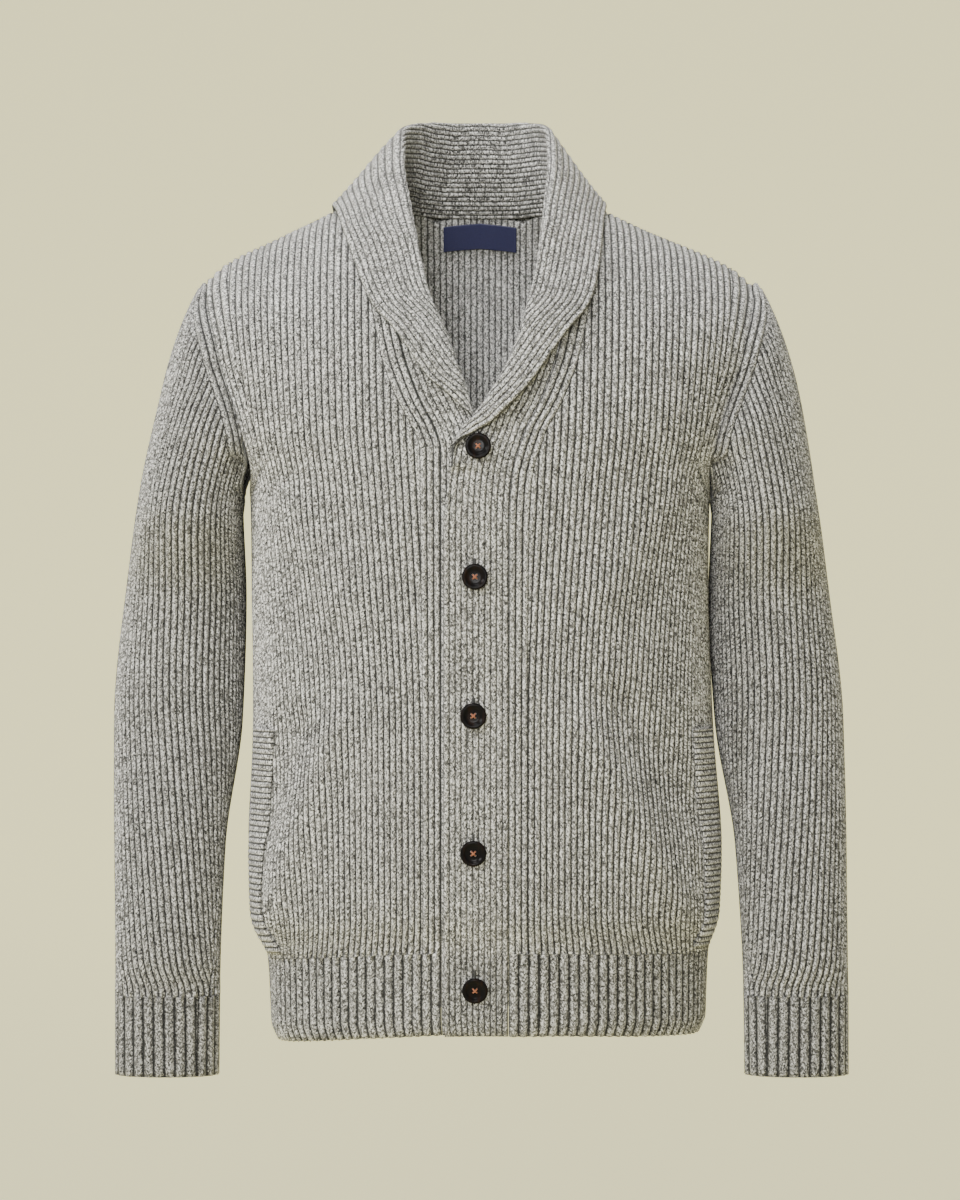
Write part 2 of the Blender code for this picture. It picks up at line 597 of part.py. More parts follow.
def sleeve_sheet():
    """The left sleeve's inside as a sheet, from the underarm round by the front."""
    levels = FINE_LEVELS
    points = np.zeros((len(levels), SLEEVE_AROUND, 3))
    lengths = np.zeros((len(levels), 2))
    ends = {}
    for row, level in enumerate(levels):
        height, inner, outer, middle, depth = (
            float(column(SLEEVE, SLEEVE_COLUMNS, name, level)) for name in SLEEVE_COLUMNS)
        thin = OUT * min(1.0, depth / 0.03)
        inner, outer, depth = inner + thin, outer - thin, depth - thin
        centre, half = (inner + outer) / 2, (outer - inner) / 2
        seams = []
        for behind in (False, True):
            if level < UNDERARM:
                seams.append(None)
                continue
            point, normal = torso(level, armhole(level, behind), behind)
            near = float(1 - soft_step((level - UNDERARM) / 0.7))
            point = point + near * UNDERARM_SHIFT
            normal = unit((1 - near) * normal + near * UNDERARM_NORMAL)
            seams.append((point, normal))
            ends[row, behind] = seams[-1]
        stops = []
        for seam in seams:
            if seam is None:
                stops.append(math.pi)
            else:
                reach = float(np.clip((seam[0][0] - centre) / half, -1, 1))
                stops.append(math.acos(float(power(reach, SLEEVE_ROUND / 2))))
        angle = np.concatenate([np.linspace(-stops[0], 0, SLEEVE_FINE),
                                np.linspace(0, stops[1], SLEEVE_FINE)[1:]])
        x = centre + half * power(np.cos(angle), 2 / SLEEVE_ROUND)
        y = middle + depth * power(np.sin(angle), 2 / SLEEVE_ROUND)
        z = np.full_like(x, height)
        curve = np.stack([x, y, z], axis=-1)
        steps = np.concatenate([[0], np.cumsum(np.linalg.norm(np.diff(curve, axis=0), axis=1))])
        for seam, start in zip(seams, (0, -1)):
            if seam is not None:
                away = np.abs(steps - steps[start]) / min(CAP_BLEND, steps[-1] / 2)
                weight = np.clip(1 - away, 0, 1) ** 2
                shift = seam[0] - curve[start]
                curve = curve + weight[:, None] * shift
        steps = np.concatenate([[0], np.cumsum(np.linalg.norm(np.diff(curve, axis=0), axis=1))])
        top = steps[SLEEVE_FINE - 1]
        lengths[row] = top, steps[-1] - top
        even = np.concatenate([np.linspace(0, top, SLEEVE_AROUND // 2 + 1),
                               np.linspace(top, steps[-1], SLEEVE_AROUND // 2 + 1)[1:]])
        points[row] = np.stack([np.interp(even, steps, curve[:, k]) for k in range(3)], axis=-1)
    sheet = Sheet(levels, points)
    normals = sheet.normals.copy()
    for row, level in enumerate(levels):
        for behind in (False, True):
            if (row, behind) in ends:
                start = -1 if behind else 0
                away = np.linalg.norm(points[row] - points[row, start], axis=1) / 0.018
                weight = (np.clip(1 - away, 0, 1) ** 1.5)[:, None]
                normals[row] = unit(normals[row] * (1 - weight) + ends[row, behind][1] * weight)
    sheet.normals = normals
    return sheet, lengths


SLEEVE_SHEET, SLEEVE_LENGTHS = sleeve_sheet()


def sleeve(level, along):
    """Inside points and normals of the left sleeve, along a row from its top line."""
    level, along = np.broadcast_arrays(np.asarray(level, float), np.asarray(along, float))
    ahead, behind = (np.interp(level, FINE_LEVELS, SLEEVE_LENGTHS[:, k]) for k in (0, 1))
    share = np.where(along < 0, 0.5 + 0.5 * along / ahead, 0.5 + 0.5 * along / behind)
    return SLEEVE_SHEET.read(level, share)


def sleeve_place(level, side):
    """Places on a row of one sleeve, and how far the row reaches ahead and behind."""
    flip = np.array([side, 1, 1])
    out = np.array([float(pairs(SLEEVE_LEAN[side], level)), 0, 0])

    def place(along):
        points, normals = sleeve(level, along)
        return (points + out) * flip, normals * flip

    ahead, behind = (float(np.interp(level, FINE_LEVELS, SLEEVE_LENGTHS[:, k])) for k in (0, 1))
    return place, ahead, behind


def build_sleeve(side, collection):
    """One sleeve: closed rings up to the underarm, then the cap's open rows."""
    wall = Wall()
    low = None
    for level in SLEEVE_ROWS:
        place, ahead, behind = sleeve_place(level, side)
        row = panel_row(wall, place, -ahead, behind, level <= 1.0, step=SLEEVE_COLUMN)
        ring = level <= UNDERARM
        if ring:
            row[0][2][-1] = (*row[0][2][-1][:2], row[0][0][0][2])
            row[1][-1] = (*row[1][-1][:2], row[1][0][2])
        if low:
            wall.join(low, row, sides=(not ring, not ring))
        else:
            wall.close(row)
        low = row
    wall.close(low)
    used = sorted({number for face in wall.faces for number in face})
    renumber = {old: new for new, old in enumerate(used)}
    wall.points = [wall.points[k] for k in used]
    wall.faces = [tuple(renumber[k] for k in face) for face in wall.faces]
    return object_of("sleeve_left" if side > 0 else "sleeve_right", wall, "marl_knit",
                     collection)


def level_at(across, height):
    """The torso's level where its front is this far across and this high."""
    levels = np.linspace(0, 9.5, 96)
    z = [torso(t, along_at(t, abs(across), False), False)[0][2] for t in levels]
    return float(np.interp(height, z, levels))


def seam_along(level, side):
    """The front panel's edge at the strip, along the cloth."""
    along = front_edge(level)
    return along if side > 0 else max(along, UNDER_EDGE)


def signed_along(level, across, behind):
    """along_at for places on either side of the middle."""
    return math.copysign(along_at(level, abs(across), behind), across)


def chest_fold(station, side):
    """A station's fold, laid on the chest where its fold_y is 0."""
    line = COLLAR[station]
    if line[2]:
        return line[1] * float(pairs(FOLD_SPREAD[side], station)), line[2], line[3]
    across, height = line[1], line[3]
    if side < 0 and station in UNDER_FOLD:
        across, height = UNDER_FOLD[station]
    level = level_at(across, height)
    along = signed_along(level, across, False)
    point, normal = torso(level, along, False)
    return point + normal * (ROLL + float(lap(side, along)))


FOLDS = {side: [chest_fold(station, side) for station in range(len(COLLAR))]
         for side in (1, -1)}
TORSO_POINTS = np.concatenate([TORSO_HALVES[side][0].points[120::2, ::2].reshape(-1, 3)
                               for side in (1, -1)])
TORSO_NORMALS = np.concatenate([TORSO_HALVES[side][0].normals[120::2, ::2].reshape(-1, 3)
                                for side in (1, -1)])


def torso_tree():
    """Finds the nearest point of the torso's upper half."""
    tree = kdtree.KDTree(len(TORSO_POINTS))
    for number, point in enumerate(TORSO_POINTS):
        tree.insert(point, number)
    tree.balance()
    return tree


TORSO_TREE = torso_tree()


def pushed_clear(points, need):
    """Points moved out until each is at least so far from the inside of the torso."""
    out = points.copy()
    for k, point in enumerate(points):
        number = TORSO_TREE.find(point)[1]
        height = float(np.dot(point - TORSO_POINTS[number], TORSO_NORMALS[number]))
        if height < need[k]:
            out[k] += TORSO_NORMALS[number] * (need[k] - height)
    return out


def panel_corner(level, side, behind):
    """Inside point and normal at the neck edge of one row of a panel."""
    if behind:
        return torso(level, side * along_at(level, float(pairs(BACK_EDGE, level)), True), True)
    along = seam_along(level, side)
    point, normal = torso(level, side * along, False)
    return point + normal * float(lap(side, along)), normal


def collar_seam(station, side):
    """Where the strip is sewn on: inside point and normal, on the panels' straight edges."""
    level = float(column(COLLAR, COLLAR_COLUMNS, "seam_level", station))
    behind = station > SIDE_STATION
    if station > LAST_SEAM_STATION:
        return torso(level + 0.045, side * 12 * COLUMN * (BACK_STATION - station), True)
    rows = ROWS_BELOW[-1:] + ROWS_ABOVE
    k = int(np.clip(np.searchsorted(rows, level, side="right") - 1, 0, len(rows) - 2))
    low, high = (panel_corner(rows[n], side, behind) for n in (k, k + 1))
    share = (level - rows[k]) / (rows[k + 1] - rows[k])
    point = low[0] * (1 - share) + high[0] * share
    normal = unit(low[1] * (1 - share) + high[1] * share)
    run = unit(high[0] - low[0])
    inward = unit(np.cross(run, normal))
    inward = inward * (-1 if inward[0] * side > 0 else 1)
    return point + inward * GAP * 1.5, normal


COLLAR_LEVELS = np.linspace(0, BACK_STATION, 97)
COLLAR_AROUND, STAND_FINE, ROLL_FINE = 121, 80, 60


def bent(start, bend, end, count):
    """A curve from start to end that leaves towards bend."""
    u = np.linspace(0, 1, count)[:, None]
    return (1 - u) ** 2 * start + 2 * u * (1 - u) * bend + u * u * end


def collar_section(station, side):
    """The strip's inner face across one station, from the seam over the fold to the edge."""
    seam, normal = collar_seam(station, side)
    stations = range(len(COLLAR))
    fold = np.array([float(smooth(stations, [f[k] for f in FOLDS[side]], station))
                     for k in range(3)])
    across, level = (float(column(COLLAR, COLLAR_COLUMNS, name, station))
                     for name in ("edge_across", "edge_level"))
    behind = station > SIDE_STATION
    across = across * float(pairs(EDGE_SPREAD[side], station))
    along = signed_along(level, across, behind)
    edge, edge_normal = torso(level, side * along, behind)
    lifted = EDGE_LIFT + (0 if behind else float(lap(side, along)))
    edge = edge + edge_normal * lifted
    if side < 0:
        fold = fold * np.array([-1, 1, 1])
    up, down = unit(fold - seam), unit(edge - fold)
    peak = unit(up - down)
    width = edge - seam
    width = unit(width - peak * np.dot(width, peak))
    centre = fold - peak * ROLL

    def touching(point, way):
        flat = np.array([np.dot(point - centre, width), np.dot(point - centre, peak)])
        angle = math.atan2(flat[1], flat[0])
        return angle + way * math.acos(min(1.0, ROLL / np.hypot(*flat)))

    first, last = touching(seam, -1), touching(edge, 1)
    first = first + 2 * math.pi if first < math.pi / 2 else first
    start = 0 if side > 0 else UNDER_BREAK
    rolled = (station - start) / ROLL_SPAN[side]
    turn = (first - last) * min(1.0, rolled)
    angle = np.linspace(first, first - turn, ROLL_FINE)[:, None]
    arc = centre + ROLL * (np.cos(angle) * width + np.sin(angle) * peak)
    toward = unit(np.cross(normal, collar_seam(min(station + 0.1, 16), side)[0]
                           - collar_seam(max(station - 0.1, start), side)[0]))
    toward = toward * np.sign(np.dot(toward, fold - seam) or 1.0)
    turned_up = float(soft_step((station - start) / 3))
    toward = unit(toward * turned_up + unit(arc[0] - seam) * (1 - turned_up))
    stand_length = np.linalg.norm(arc[0] - seam)
    stand = bent(seam, seam + toward * stand_length * STAND_BEND, arc[0], STAND_FINE)
    fall = edge - arc[-1] if rolled >= 1 else (
        unit(np.sin(angle[-1]) * width - np.cos(angle[-1]) * peak)
        * np.linalg.norm(edge - arc[-1]))
    fall = fall * float(soft_step((rolled - 0.6) / 0.4))
    outward = unit(np.cross(unit(fall + 1e-9), np.cross(width, peak)))
    outward = outward * np.sign(np.dot(outward, width) or 1.0)
    end = arc[-1] + fall
    bulge = float(pairs(FALL_BULGE[side], station))
    middle = (arc[-1] + end) / 2 + outward * 2 * bulge * np.linalg.norm(fall)
    fall = bent(arc[-1], middle, end, STAND_FINE)
    curve = np.concatenate([stand, arc[1:], fall[1:]])
    steps = np.concatenate([[0], np.cumsum(np.linalg.norm(np.diff(curve, axis=0), axis=1))])
    even = np.linspace(0, steps[-1], COLLAR_AROUND)
    curve = np.stack([np.interp(even, steps, curve[:, k]) for k in range(3)], axis=-1)
    if rolled >= 1:
        past = soft_step((even - steps[STAND_FINE + ROLL_FINE - 1] - 0.002) / 0.012)
        curve = pushed_clear(curve, np.where(past > 0, FALL_CLEAR * past - 0.02 * (1 - past), -9))
    return curve, steps[-1], steps[STAND_FINE - 1], normal


def collar_sheet(side):
    """Half the collar's inner face as a sheet, with each station's width and stand."""
    levels = COLLAR_LEVELS if side > 0 else COLLAR_LEVELS[COLLAR_LEVELS >= UNDER_BREAK - 1e-6]
    made = [collar_section(station, side) for station in levels]
    points = np.array([section[0] for section in made])
    sheet = Sheet(levels, points)
    normals = sheet.normals * -side
    seam = np.array([section[3] for section in made])
    widths = np.array([section[1] for section in made])
    from_seam = widths[:, None] * np.linspace(0, 1, COLLAR_AROUND)[None, :]
    near = (1 - soft_step(from_seam / 0.006))[..., None]
    normals = unit(normals * (1 - near) + seam[:, None, :] * near)
    normals[-1, :, 0] = 0
    sheet.normals = unit(normals)
    sheet.bottom = levels[0]
    return sheet, levels, widths, np.array([section[2] for section in made])


COLLAR_HALVES = {side: collar_sheet(side) for side in (1, -1)}


def collar(station, side, from_edge):
    """Inner points and normals at distances from the free edge, with the ribs' strength."""
    sheet, levels, widths, stands = COLLAR_HALVES[side]
    width = float(np.interp(station, levels, widths))
    stand = float(np.interp(station, levels, stands))
    share = 1 - np.asarray(from_edge) / width
    place = (station - levels[0]) / (levels[-1] - levels[0]) * sheet.top
    points, normals = sheet.read(place, share)
    on_fall = soft_step((share * width - stand) / 0.004)
    inside = soft_step((station - 8.5) / 1.5) * soft_step((share * width - 0.004) / 0.006)
    return points, normals, np.maximum(on_fall, inside)


def collar_columns(station, side, step):
    """Columns across the collar: keys, distances from the free edge, and the fold's place.

    The fall's columns are counted from its free edge, the stand's back from the seam.
    """
    _, levels, widths, stands = COLLAR_HALVES[side]
    width = float(np.interp(station, levels, widths))
    fold, first_fold = (float(np.interp(at, levels, widths - stands)) - 1.5 * ROLL
                        for at in (station, FALL_STATION))
    fold = max(fold, 0.0)
    fall_step = step
    if station > FALL_STATION:
        fall_step = fold / (first_fold / step)
    fall = np.arange(math.floor(fold / fall_step + 0.65))
    stand_step = step * (1 - STAND_TIGHTER * float(soft_step((station - 6) / 3)))
    stand = np.arange(math.floor((width - fold) / stand_step + 0.65))[::-1]
    if not len(fall):
        fold = 0.0
    keys = np.concatenate([fall, [FOLD_KEY], SEAM_KEY - stand])
    return keys, np.concatenate([fall * fall_step, [fold], width - stand * stand_step]), len(fall)


def collar_row(wall, station, side):
    """One station of the collar: ribs on the face that shows, plain on the other."""
    keys, from_edge, fold = collar_columns(station, side, COLLAR_COLUMN)
    bend = from_edge[fold]
    if station < FALL_STATION:
        wanted = (from_edge < bend + 1.2 * ROLL) | (keys % 4 == 0)
        keys, from_edge = keys[wanted], from_edge[wanted]
    points, normals, strength = collar(station, side, from_edge)
    ribs = rib(keys) * strength
    shown = points - normals * (COLLAR_RIB * ribs)[:, None]
    plain = (keys % 4 == 0) | (np.abs(from_edge - bend) < 2.0 * ROLL)
    under, normals, _ = collar(station, side, from_edge[plain])
    return ([wall.put(keys, from_edge, shown)],
            wall.put(keys[plain], from_edge[plain], under + normals * COLLAR_WALL))


COLLAR_STATIONS = (0.04, 0.75, 1.5, 2.2, 3, 4, 5, 6, 7, 8, 9, 10, 11, 12, 13, 14, 15, 16)
UNDER_STATIONS = (15, 14, 13, 12, 11, 10, 9, 8, 7, 6, 5, 4.2, 3.6, 3.04)


def build_collar(collection):
    """The collar, from the left break point round the back of the neck to the right one."""
    wall = Wall()
    rows = [collar_row(wall, station, 1) for station in COLLAR_STATIONS]
    rows += [collar_row(wall, station, -1) for station in UNDER_STATIONS]
    wall.close(rows[0])
    wall.close(rows[-1])
    for low, high in zip(rows, rows[1:]):
        wall.join(low, high)
    return object_of("collar", wall, "marl_knit", collection)


def band_row(wall, side, seam, free):
    """One row of a band, from its seam to its free edge, each given as level and along."""
    span = abs(free[1] - seam[1])
    count = round(span / BAND_COLUMN / 2) * 2

    def place(share):
        level = seam[0] + (free[0] - seam[0]) * share
        along = seam[1] + (free[1] - seam[1]) * share
        points, normals = torso(level, along, False)
        amount = LAP_OVER if side > 0 else -LAP_UNDER
        return points + normals * amount, normals

    share = np.linspace(0, 1, count + 1)
    points, normals = place(share)
    points = points + normals * (BAND_WALL + BAND_RIB * rib(np.arange(count + 1)))[:, None]
    coarse = np.linspace(0, 1, 5)
    return ([wall.put(share, share, points)], wall.put(coarse, coarse, place(coarse)[0]))


def band_top(side):
    """Where a band ends: its seam's level, and its free edge's level and distance along."""
    top, across, _, height = COLLAR[0 if side > 0 else UNDER_BREAK][:4]
    if side < 0:
        across, height = UNDER_FOLD[UNDER_BREAK]
    free_top = level_at(across, height) - 0.04
    return top - 0.02, free_top, side * signed_along(free_top, across, False)


def build_band(side, collection):
    """One band: the left one on top with the buttons, the right one under it."""
    wall = Wall()
    free = BAND_FREE if side > 0 else BAND_UNDER_FREE
    ends = [((level, side * (seam_along(level, side) - GAP)), (level, free))
            for level in BAND_LEVELS]
    top, free_top, free_along = band_top(side)
    turning = ((6.18, 6.42, (free + free_along) / 2 if side < 0 else free * 0.97),
               (top, free_top, free_along))
    for level, free_level, along in turning:
        ends.append(((level, side * (seam_along(level, side) - GAP)), (free_level, along)))
    rows = [band_row(wall, side, *pair) for pair in ends]
    wall.close(rows[0])
    wall.close(rows[-1])
    for low, high in zip(rows, rows[1:]):
        wall.join(low, high)
    return object_of("band_left" if side > 0 else "band_right", wall, "marl_knit", collection)


def level_of_height(height):
    """The torso's level at a height below the underarm."""
    heights = [line[0] for line in TORSO[:UNDERARM]]
    levels = np.linspace(0, UNDERARM - 1, 201)
    return float(np.interp(height, smooth(range(UNDERARM), heights, levels), levels))


def on_panel(rows, level, side, along):
    """A front panel's inside point and normal, on the straight cloth between two rows."""
    k = int(np.clip(np.searchsorted(rows, level, side="right") - 1, 0, len(rows) - 2))
    low, high = (front_place(rows[n], side)(np.atleast_1d(along)) for n in (k, k + 1))
    share = (level - rows[k]) / (rows[k + 1] - rows[k])
    return low[0] * (1 - share) + high[0] * share, unit(low[1] * (1 - share) + high[1] * share)


def build_welt(side, collection):
    """A pocket welt, laid on the front panel: upright lines of points, ribs across them."""
    wall = Wall()
    count = 2 * WELT_RIBS
    heights = np.linspace(WELT_BOTTOM, WELT_TOP, count + 1)
    rows = column(TORSO, TORSO_COLUMNS, "height", ROWS_BELOW)
    rows = rows[(rows > WELT_BOTTOM + 0.003) & (rows < WELT_TOP - 0.003)]
    plain = np.union1d(heights[::8], rows)
    lines = []
    for line in range(WELT_LINES):
        share = line / (WELT_LINES - 1)

        def place(height):
            level = level_of_height(height)
            risen = (height - WELT_BOTTOM) / (WELT_TOP - WELT_BOTTOM)
            inner = WELT_INNER_BOTTOM + (WELT_INNER_TOP - WELT_INNER_BOTTOM) * risen
            along = float(quarter(level, False)) - inner + (inner - WELT_OUTER) * share
            point, normal = on_panel(ROWS_BELOW, level, side, along)
            return point[0] + normal[0] * (OUT + LAID_GAP), normal[0]

        raised = rib(np.arange(count + 1))
        made = [place(height) for height in heights]
        outer = [p + n * (WELT_WALL + WELT_RIB * r) for (p, n), r in zip(made, raised)]
        chain = wall.put(heights, heights, outer)
        inner = [place(height)[0] for height in plain]
        lines.append(([chain], wall.put(plain, plain, inner)))
    wall.close(lines[0])
    wall.close(lines[-1])
    for low, high in zip(lines, lines[1:]):
        wall.join(low, high)
    return object_of("pocket_welt_left" if side > 0 else "pocket_welt_right", wall,
                     "marl_knit", collection)


def build_label(collection):
    """The neck label, just inside the back, made from the back's inside points."""
    wall = Wall()
    rows = []
    low, high = (BACK_NECK - 1, BACK_NECK)
    along = np.linspace(-LABEL_HALF_WIDTH, LABEL_HALF_WIDTH, 5)
    for level in LABEL_LEVELS:
        share = level - low
        below, above = torso(low, along, True), torso(high, along, True)
        points = below[0] * (1 - share) + above[0] * share
        normals = unit(below[1] * (1 - share) + above[1] * share)
        rows.append(([wall.put(along, along, points - normals * LABEL_GAP)],
                     wall.put(along, along, points - normals * (LABEL_GAP + LABEL_THICK))))
    wall.close(rows[0])
    wall.close(rows[-1])
    wall.join(*rows)
    return object_of("label", wall, "label_cloth", collection)


def build_button(number, collection, cutters):
    """A dished button with a rim and four holes, on the upper band."""
    across, height, lifted = BUTTON_PLACES[number]
    level = level_at(across, height)
    along = signed_along(level, across, False)
    if level < BAND_LEVELS[-1]:
        k = int(np.searchsorted(BAND_LEVELS, level)) - 1
        low, high = (torso(BAND_LEVELS[n], along, False) for n in (k, k + 1))
        share = (height - low[0][2]) / (high[0][2] - low[0][2])
        point, normal = (a * (1 - share) + b * share for a, b in zip(low, high))
    else:
        point, normal = torso(level, along, False)
    point = point + normal * (LAP_OVER + lifted)
    name = f"button_{number + 1}"
    mesh = bpy.data.meshes.new(name)
    rings = len(BUTTON_PROFILE)
    mesh.from_pydata([(r, 0, z) for r, z in BUTTON_PROFILE],
                     [(k, k + 1) for k in range(rings - 1)], [])
    mesh.materials.append(material_of("horn_button"))
    button = bpy.data.objects.new(name, mesh)
    collection.objects.link(button)
    turned = button.modifiers.new("turned", "SCREW")
    turned.steps = turned.render_steps = BUTTON_STEPS
    turned.use_merge_vertices = True
    turned.merge_threshold = 0.00005
    button.location = point
    button.rotation_mode = "QUATERNION"
    button.rotation_quaternion = Vector(normal).to_track_quat("Z", "Y")
    for k, (x, y) in enumerate(((1, 1), (-1, 1), (-1, -1), (1, -1))):
        shape = bmesh.new()
        bmesh.ops.create_cone(shape, cap_ends=True, segments=HOLE_SIDES, radius1=HOLE_RADIUS,
                              radius2=HOLE_RADIUS, depth=0.02)
        bmesh.ops.translate(shape, verts=shape.verts, vec=(x * HOLE_SPREAD, y * HOLE_SPREAD, 0))
        hole_mesh = bpy.data.meshes.new(f"{name}_hole_{k}")
        shape.to_mesh(hole_mesh)
        shape.free()
        hole = bpy.data.objects.new(hole_mesh.name, hole_mesh)
        cutters.objects.link(hole)
        hole.parent = button
        hole.hide_render = True
        hole.display_type = "WIRE"
        cut = button.modifiers.new(f"hole_{k}", "BOOLEAN")
        cut.operation = "DIFFERENCE"
        cut.solver = "EXACT"
        cut.object = hole
    return button


def main():
    """Clears the scene and builds every piece."""
    for old in list(bpy.data.objects):
        bpy.data.objects.remove(old, do_unlink=True)
    pieces = bpy.data.collections.new(NAME)
    bpy.context.scene.collection.children.link(pieces)
    cutters = bpy.data.collections.new("cutters")
    bpy.context.scene.collection.children.link(cutters)
    build_back(pieces)
    for side in (1, -1):
        build_front(side, pieces)
        build_sleeve(side, pieces)
        build_band(side, pieces)
        build_welt(side, pieces)
    build_collar(pieces)
    build_label(pieces)
    for number in range(len(BUTTON_PLACES)):
        build_button(number, pieces, cutters)


main()
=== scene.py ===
"""Shawl collar cardigan: the knitted look of every piece, over its solids.

Metres, +Z up, front at -Y, the wearer's left at +X. Each knitted piece is a thin wall of
ribs, built row by row on the same form as its solid. Every point keeps which rib and
which course it is in, and the wool's stitches are drawn from those two numbers.
"""

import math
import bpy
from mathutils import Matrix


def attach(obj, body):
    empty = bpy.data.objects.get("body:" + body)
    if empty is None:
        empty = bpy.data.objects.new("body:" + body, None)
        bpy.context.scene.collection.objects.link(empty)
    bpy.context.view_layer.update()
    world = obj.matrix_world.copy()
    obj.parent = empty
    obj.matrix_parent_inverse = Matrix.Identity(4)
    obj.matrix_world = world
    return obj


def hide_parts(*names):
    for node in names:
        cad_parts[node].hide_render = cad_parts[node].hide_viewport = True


bl_info = {
    "name": "Shawl collar cardigan",
    "version": (1, 0, 0),
    "blender": (4, 5, 0),
    "location": "3D View > Sidebar > Cardigan",
    "description": "Builds a ribbed, marled shawl collar cardigan, filled out as if worn",
    "category": "Object",
}

from collections import namedtuple

import bmesh
import bpy
import numpy as np
from mathutils import Matrix, Vector, kdtree

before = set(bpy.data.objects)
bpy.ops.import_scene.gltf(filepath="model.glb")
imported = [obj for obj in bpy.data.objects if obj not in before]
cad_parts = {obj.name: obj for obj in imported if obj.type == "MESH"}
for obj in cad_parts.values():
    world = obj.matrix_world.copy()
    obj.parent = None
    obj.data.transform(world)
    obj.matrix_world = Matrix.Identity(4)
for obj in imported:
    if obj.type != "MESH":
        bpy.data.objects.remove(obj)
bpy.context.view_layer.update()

OUT = 0.0033  # a wall of ribs, to their tops
GAP = 0.0003  # between pieces at a seam
COLUMN = 0.0030  # half a rib of the solids, by which the back neck is measured

# Torso: one line for each level, hem first. Sizes are to the tops of the ribs.
TORSO_COLUMNS = ("height", "drop", "half_width", "front", "back", "middle", "round")
TORSO = (
    (-0.672, 0.00, 0.1775, 0.113, 0.109, 0.000, 2.2),  # 0 hem edge
    (-0.607, 0.00, 0.1805, 0.116, 0.113, 0.000, 2.2),  # 1 hem rib's top
    (-0.575, 0.00, 0.1915, 0.124, 0.119, 0.000, 2.2),  # 2
    (-0.520, 0.00, 0.1938, 0.127, 0.122, 0.000, 2.2),  # 3 hip
    (-0.430, 0.00, 0.1885, 0.127, 0.122, 0.000, 2.2),  # 4 waist
    (-0.330, 0.00, 0.1870, 0.129, 0.125, 0.000, 2.2),  # 5
    (-0.245, 0.03, 0.1880, 0.131, 0.129, 0.000, 2.3),  # 6 underarm
    (-0.190, 0.15, 0.2050, 0.129, 0.131, 0.000, 2.4),  # 7 chest
    (-0.130, 0.40, 0.2220, 0.119, 0.127, 0.002, 2.4),  # 8
    (-0.080, 0.65, 0.2380, 0.100, 0.113, 0.005, 2.4),  # 9
    (-0.038, 0.90, 0.2480, 0.071, 0.084, 0.008, 2.4),  # 10 back neck
    (-0.012, 1.00, 0.2520, 0.042, 0.046, 0.010, 2.4),  # 11
    (0.000, 1.00, 0.2520, 0.0004, 0.0004, 0.010, 2.4),  # 12 shoulder seam
)
HEM_TOP, UNDERARM, BACK_NECK, SHOULDER = 1, 6, 10, 12
HEM_TUCK = 0.028  # how much narrower the hem's rounded edge is
CREASE = 1.6  # how much deeper the cloth's folds are than the part's

# Creases of the front and the back: where each starts and ends, across and in height, its
# width, and how far it stands out
CREASES = {
    True: (
        ((0.075, -0.415), (0.168, -0.590), 0.016, 0.0040),
        ((0.105, -0.400), (0.178, -0.510), 0.018, -0.0028),
        ((-0.110, -0.415), (-0.168, -0.590), 0.015, 0.0036),
        ((-0.140, -0.420), (-0.175, -0.520), 0.016, -0.0024),
        ((0.150, -0.230), (0.095, -0.330), 0.020, 0.0022),
        ((-0.150, -0.240), (-0.100, -0.340), 0.020, 0.0020),
    ),
    False: (
        ((0.040, -0.560), (0.150, -0.430), 0.020, 0.0040),
        ((-0.060, -0.585), (-0.155, -0.480), 0.018, 0.0034),
        ((0.000, -0.560), (0.010, -0.360), 0.032, -0.0036),
        ((0.145, -0.200), (0.080, -0.320), 0.022, 0.0030),
        ((-0.145, -0.200), (-0.085, -0.310), 0.022, 0.0028),
    ),
}

# How high the shoulder line runs above the neck point, across from the middle
SHOULDER_LINE = (
    (0.000, 0.0395), (0.030, 0.0360), (0.045, 0.0290), (0.060, 0.0190), (0.083, 0.001),
    (0.102, -0.0055), (0.117, -0.0125), (0.135, -0.0210), (0.153, -0.0285), (0.175, -0.0372),
    (0.194, -0.0455), (0.207, -0.0530), (0.220, -0.0640), (0.232, -0.0770), (0.252, -0.110),
)

# How much higher the right shoulder is, and how much lower the left, across from the middle
SHOULDER_TILT = {
    1: ((0.0, 0.0), (0.13, -0.0022), (0.30, -0.0022)),
    -1: ((0.0, 0.0), (0.07, 0.0), (0.115, 0.0060), (0.145, 0.0050), (0.18, 0.0026),
         (0.30, 0.0022)),
}

# How the lower body leans to the left and how its sides hang, at each level
LEAN = ((0.0, 0.0072), (1.0, 0.0068), (2.0, 0.0048), (3.0, 0.0042), (4.0, 0.0026), (5.0, 0.0))
SAG = ((0.0, 0.0105), (1.0, 0.0095), (2.0, 0.0050), (3.0, 0.0020), (4.0, 0.0))
SAG_TILT = 0.30  # more of it on the right side, less on the left

# Armhole: share of the torso's depth that it reaches forward and back at each level
ARMHOLE = (
    (6.0, 0.000), (6.25, 0.250), (6.5, 0.385), (7.0, 0.460), (8.0, 0.475),
    (9.0, 0.533), (10.0, 0.557), (11.0, 0.5615), (12.0, 0.554),
)

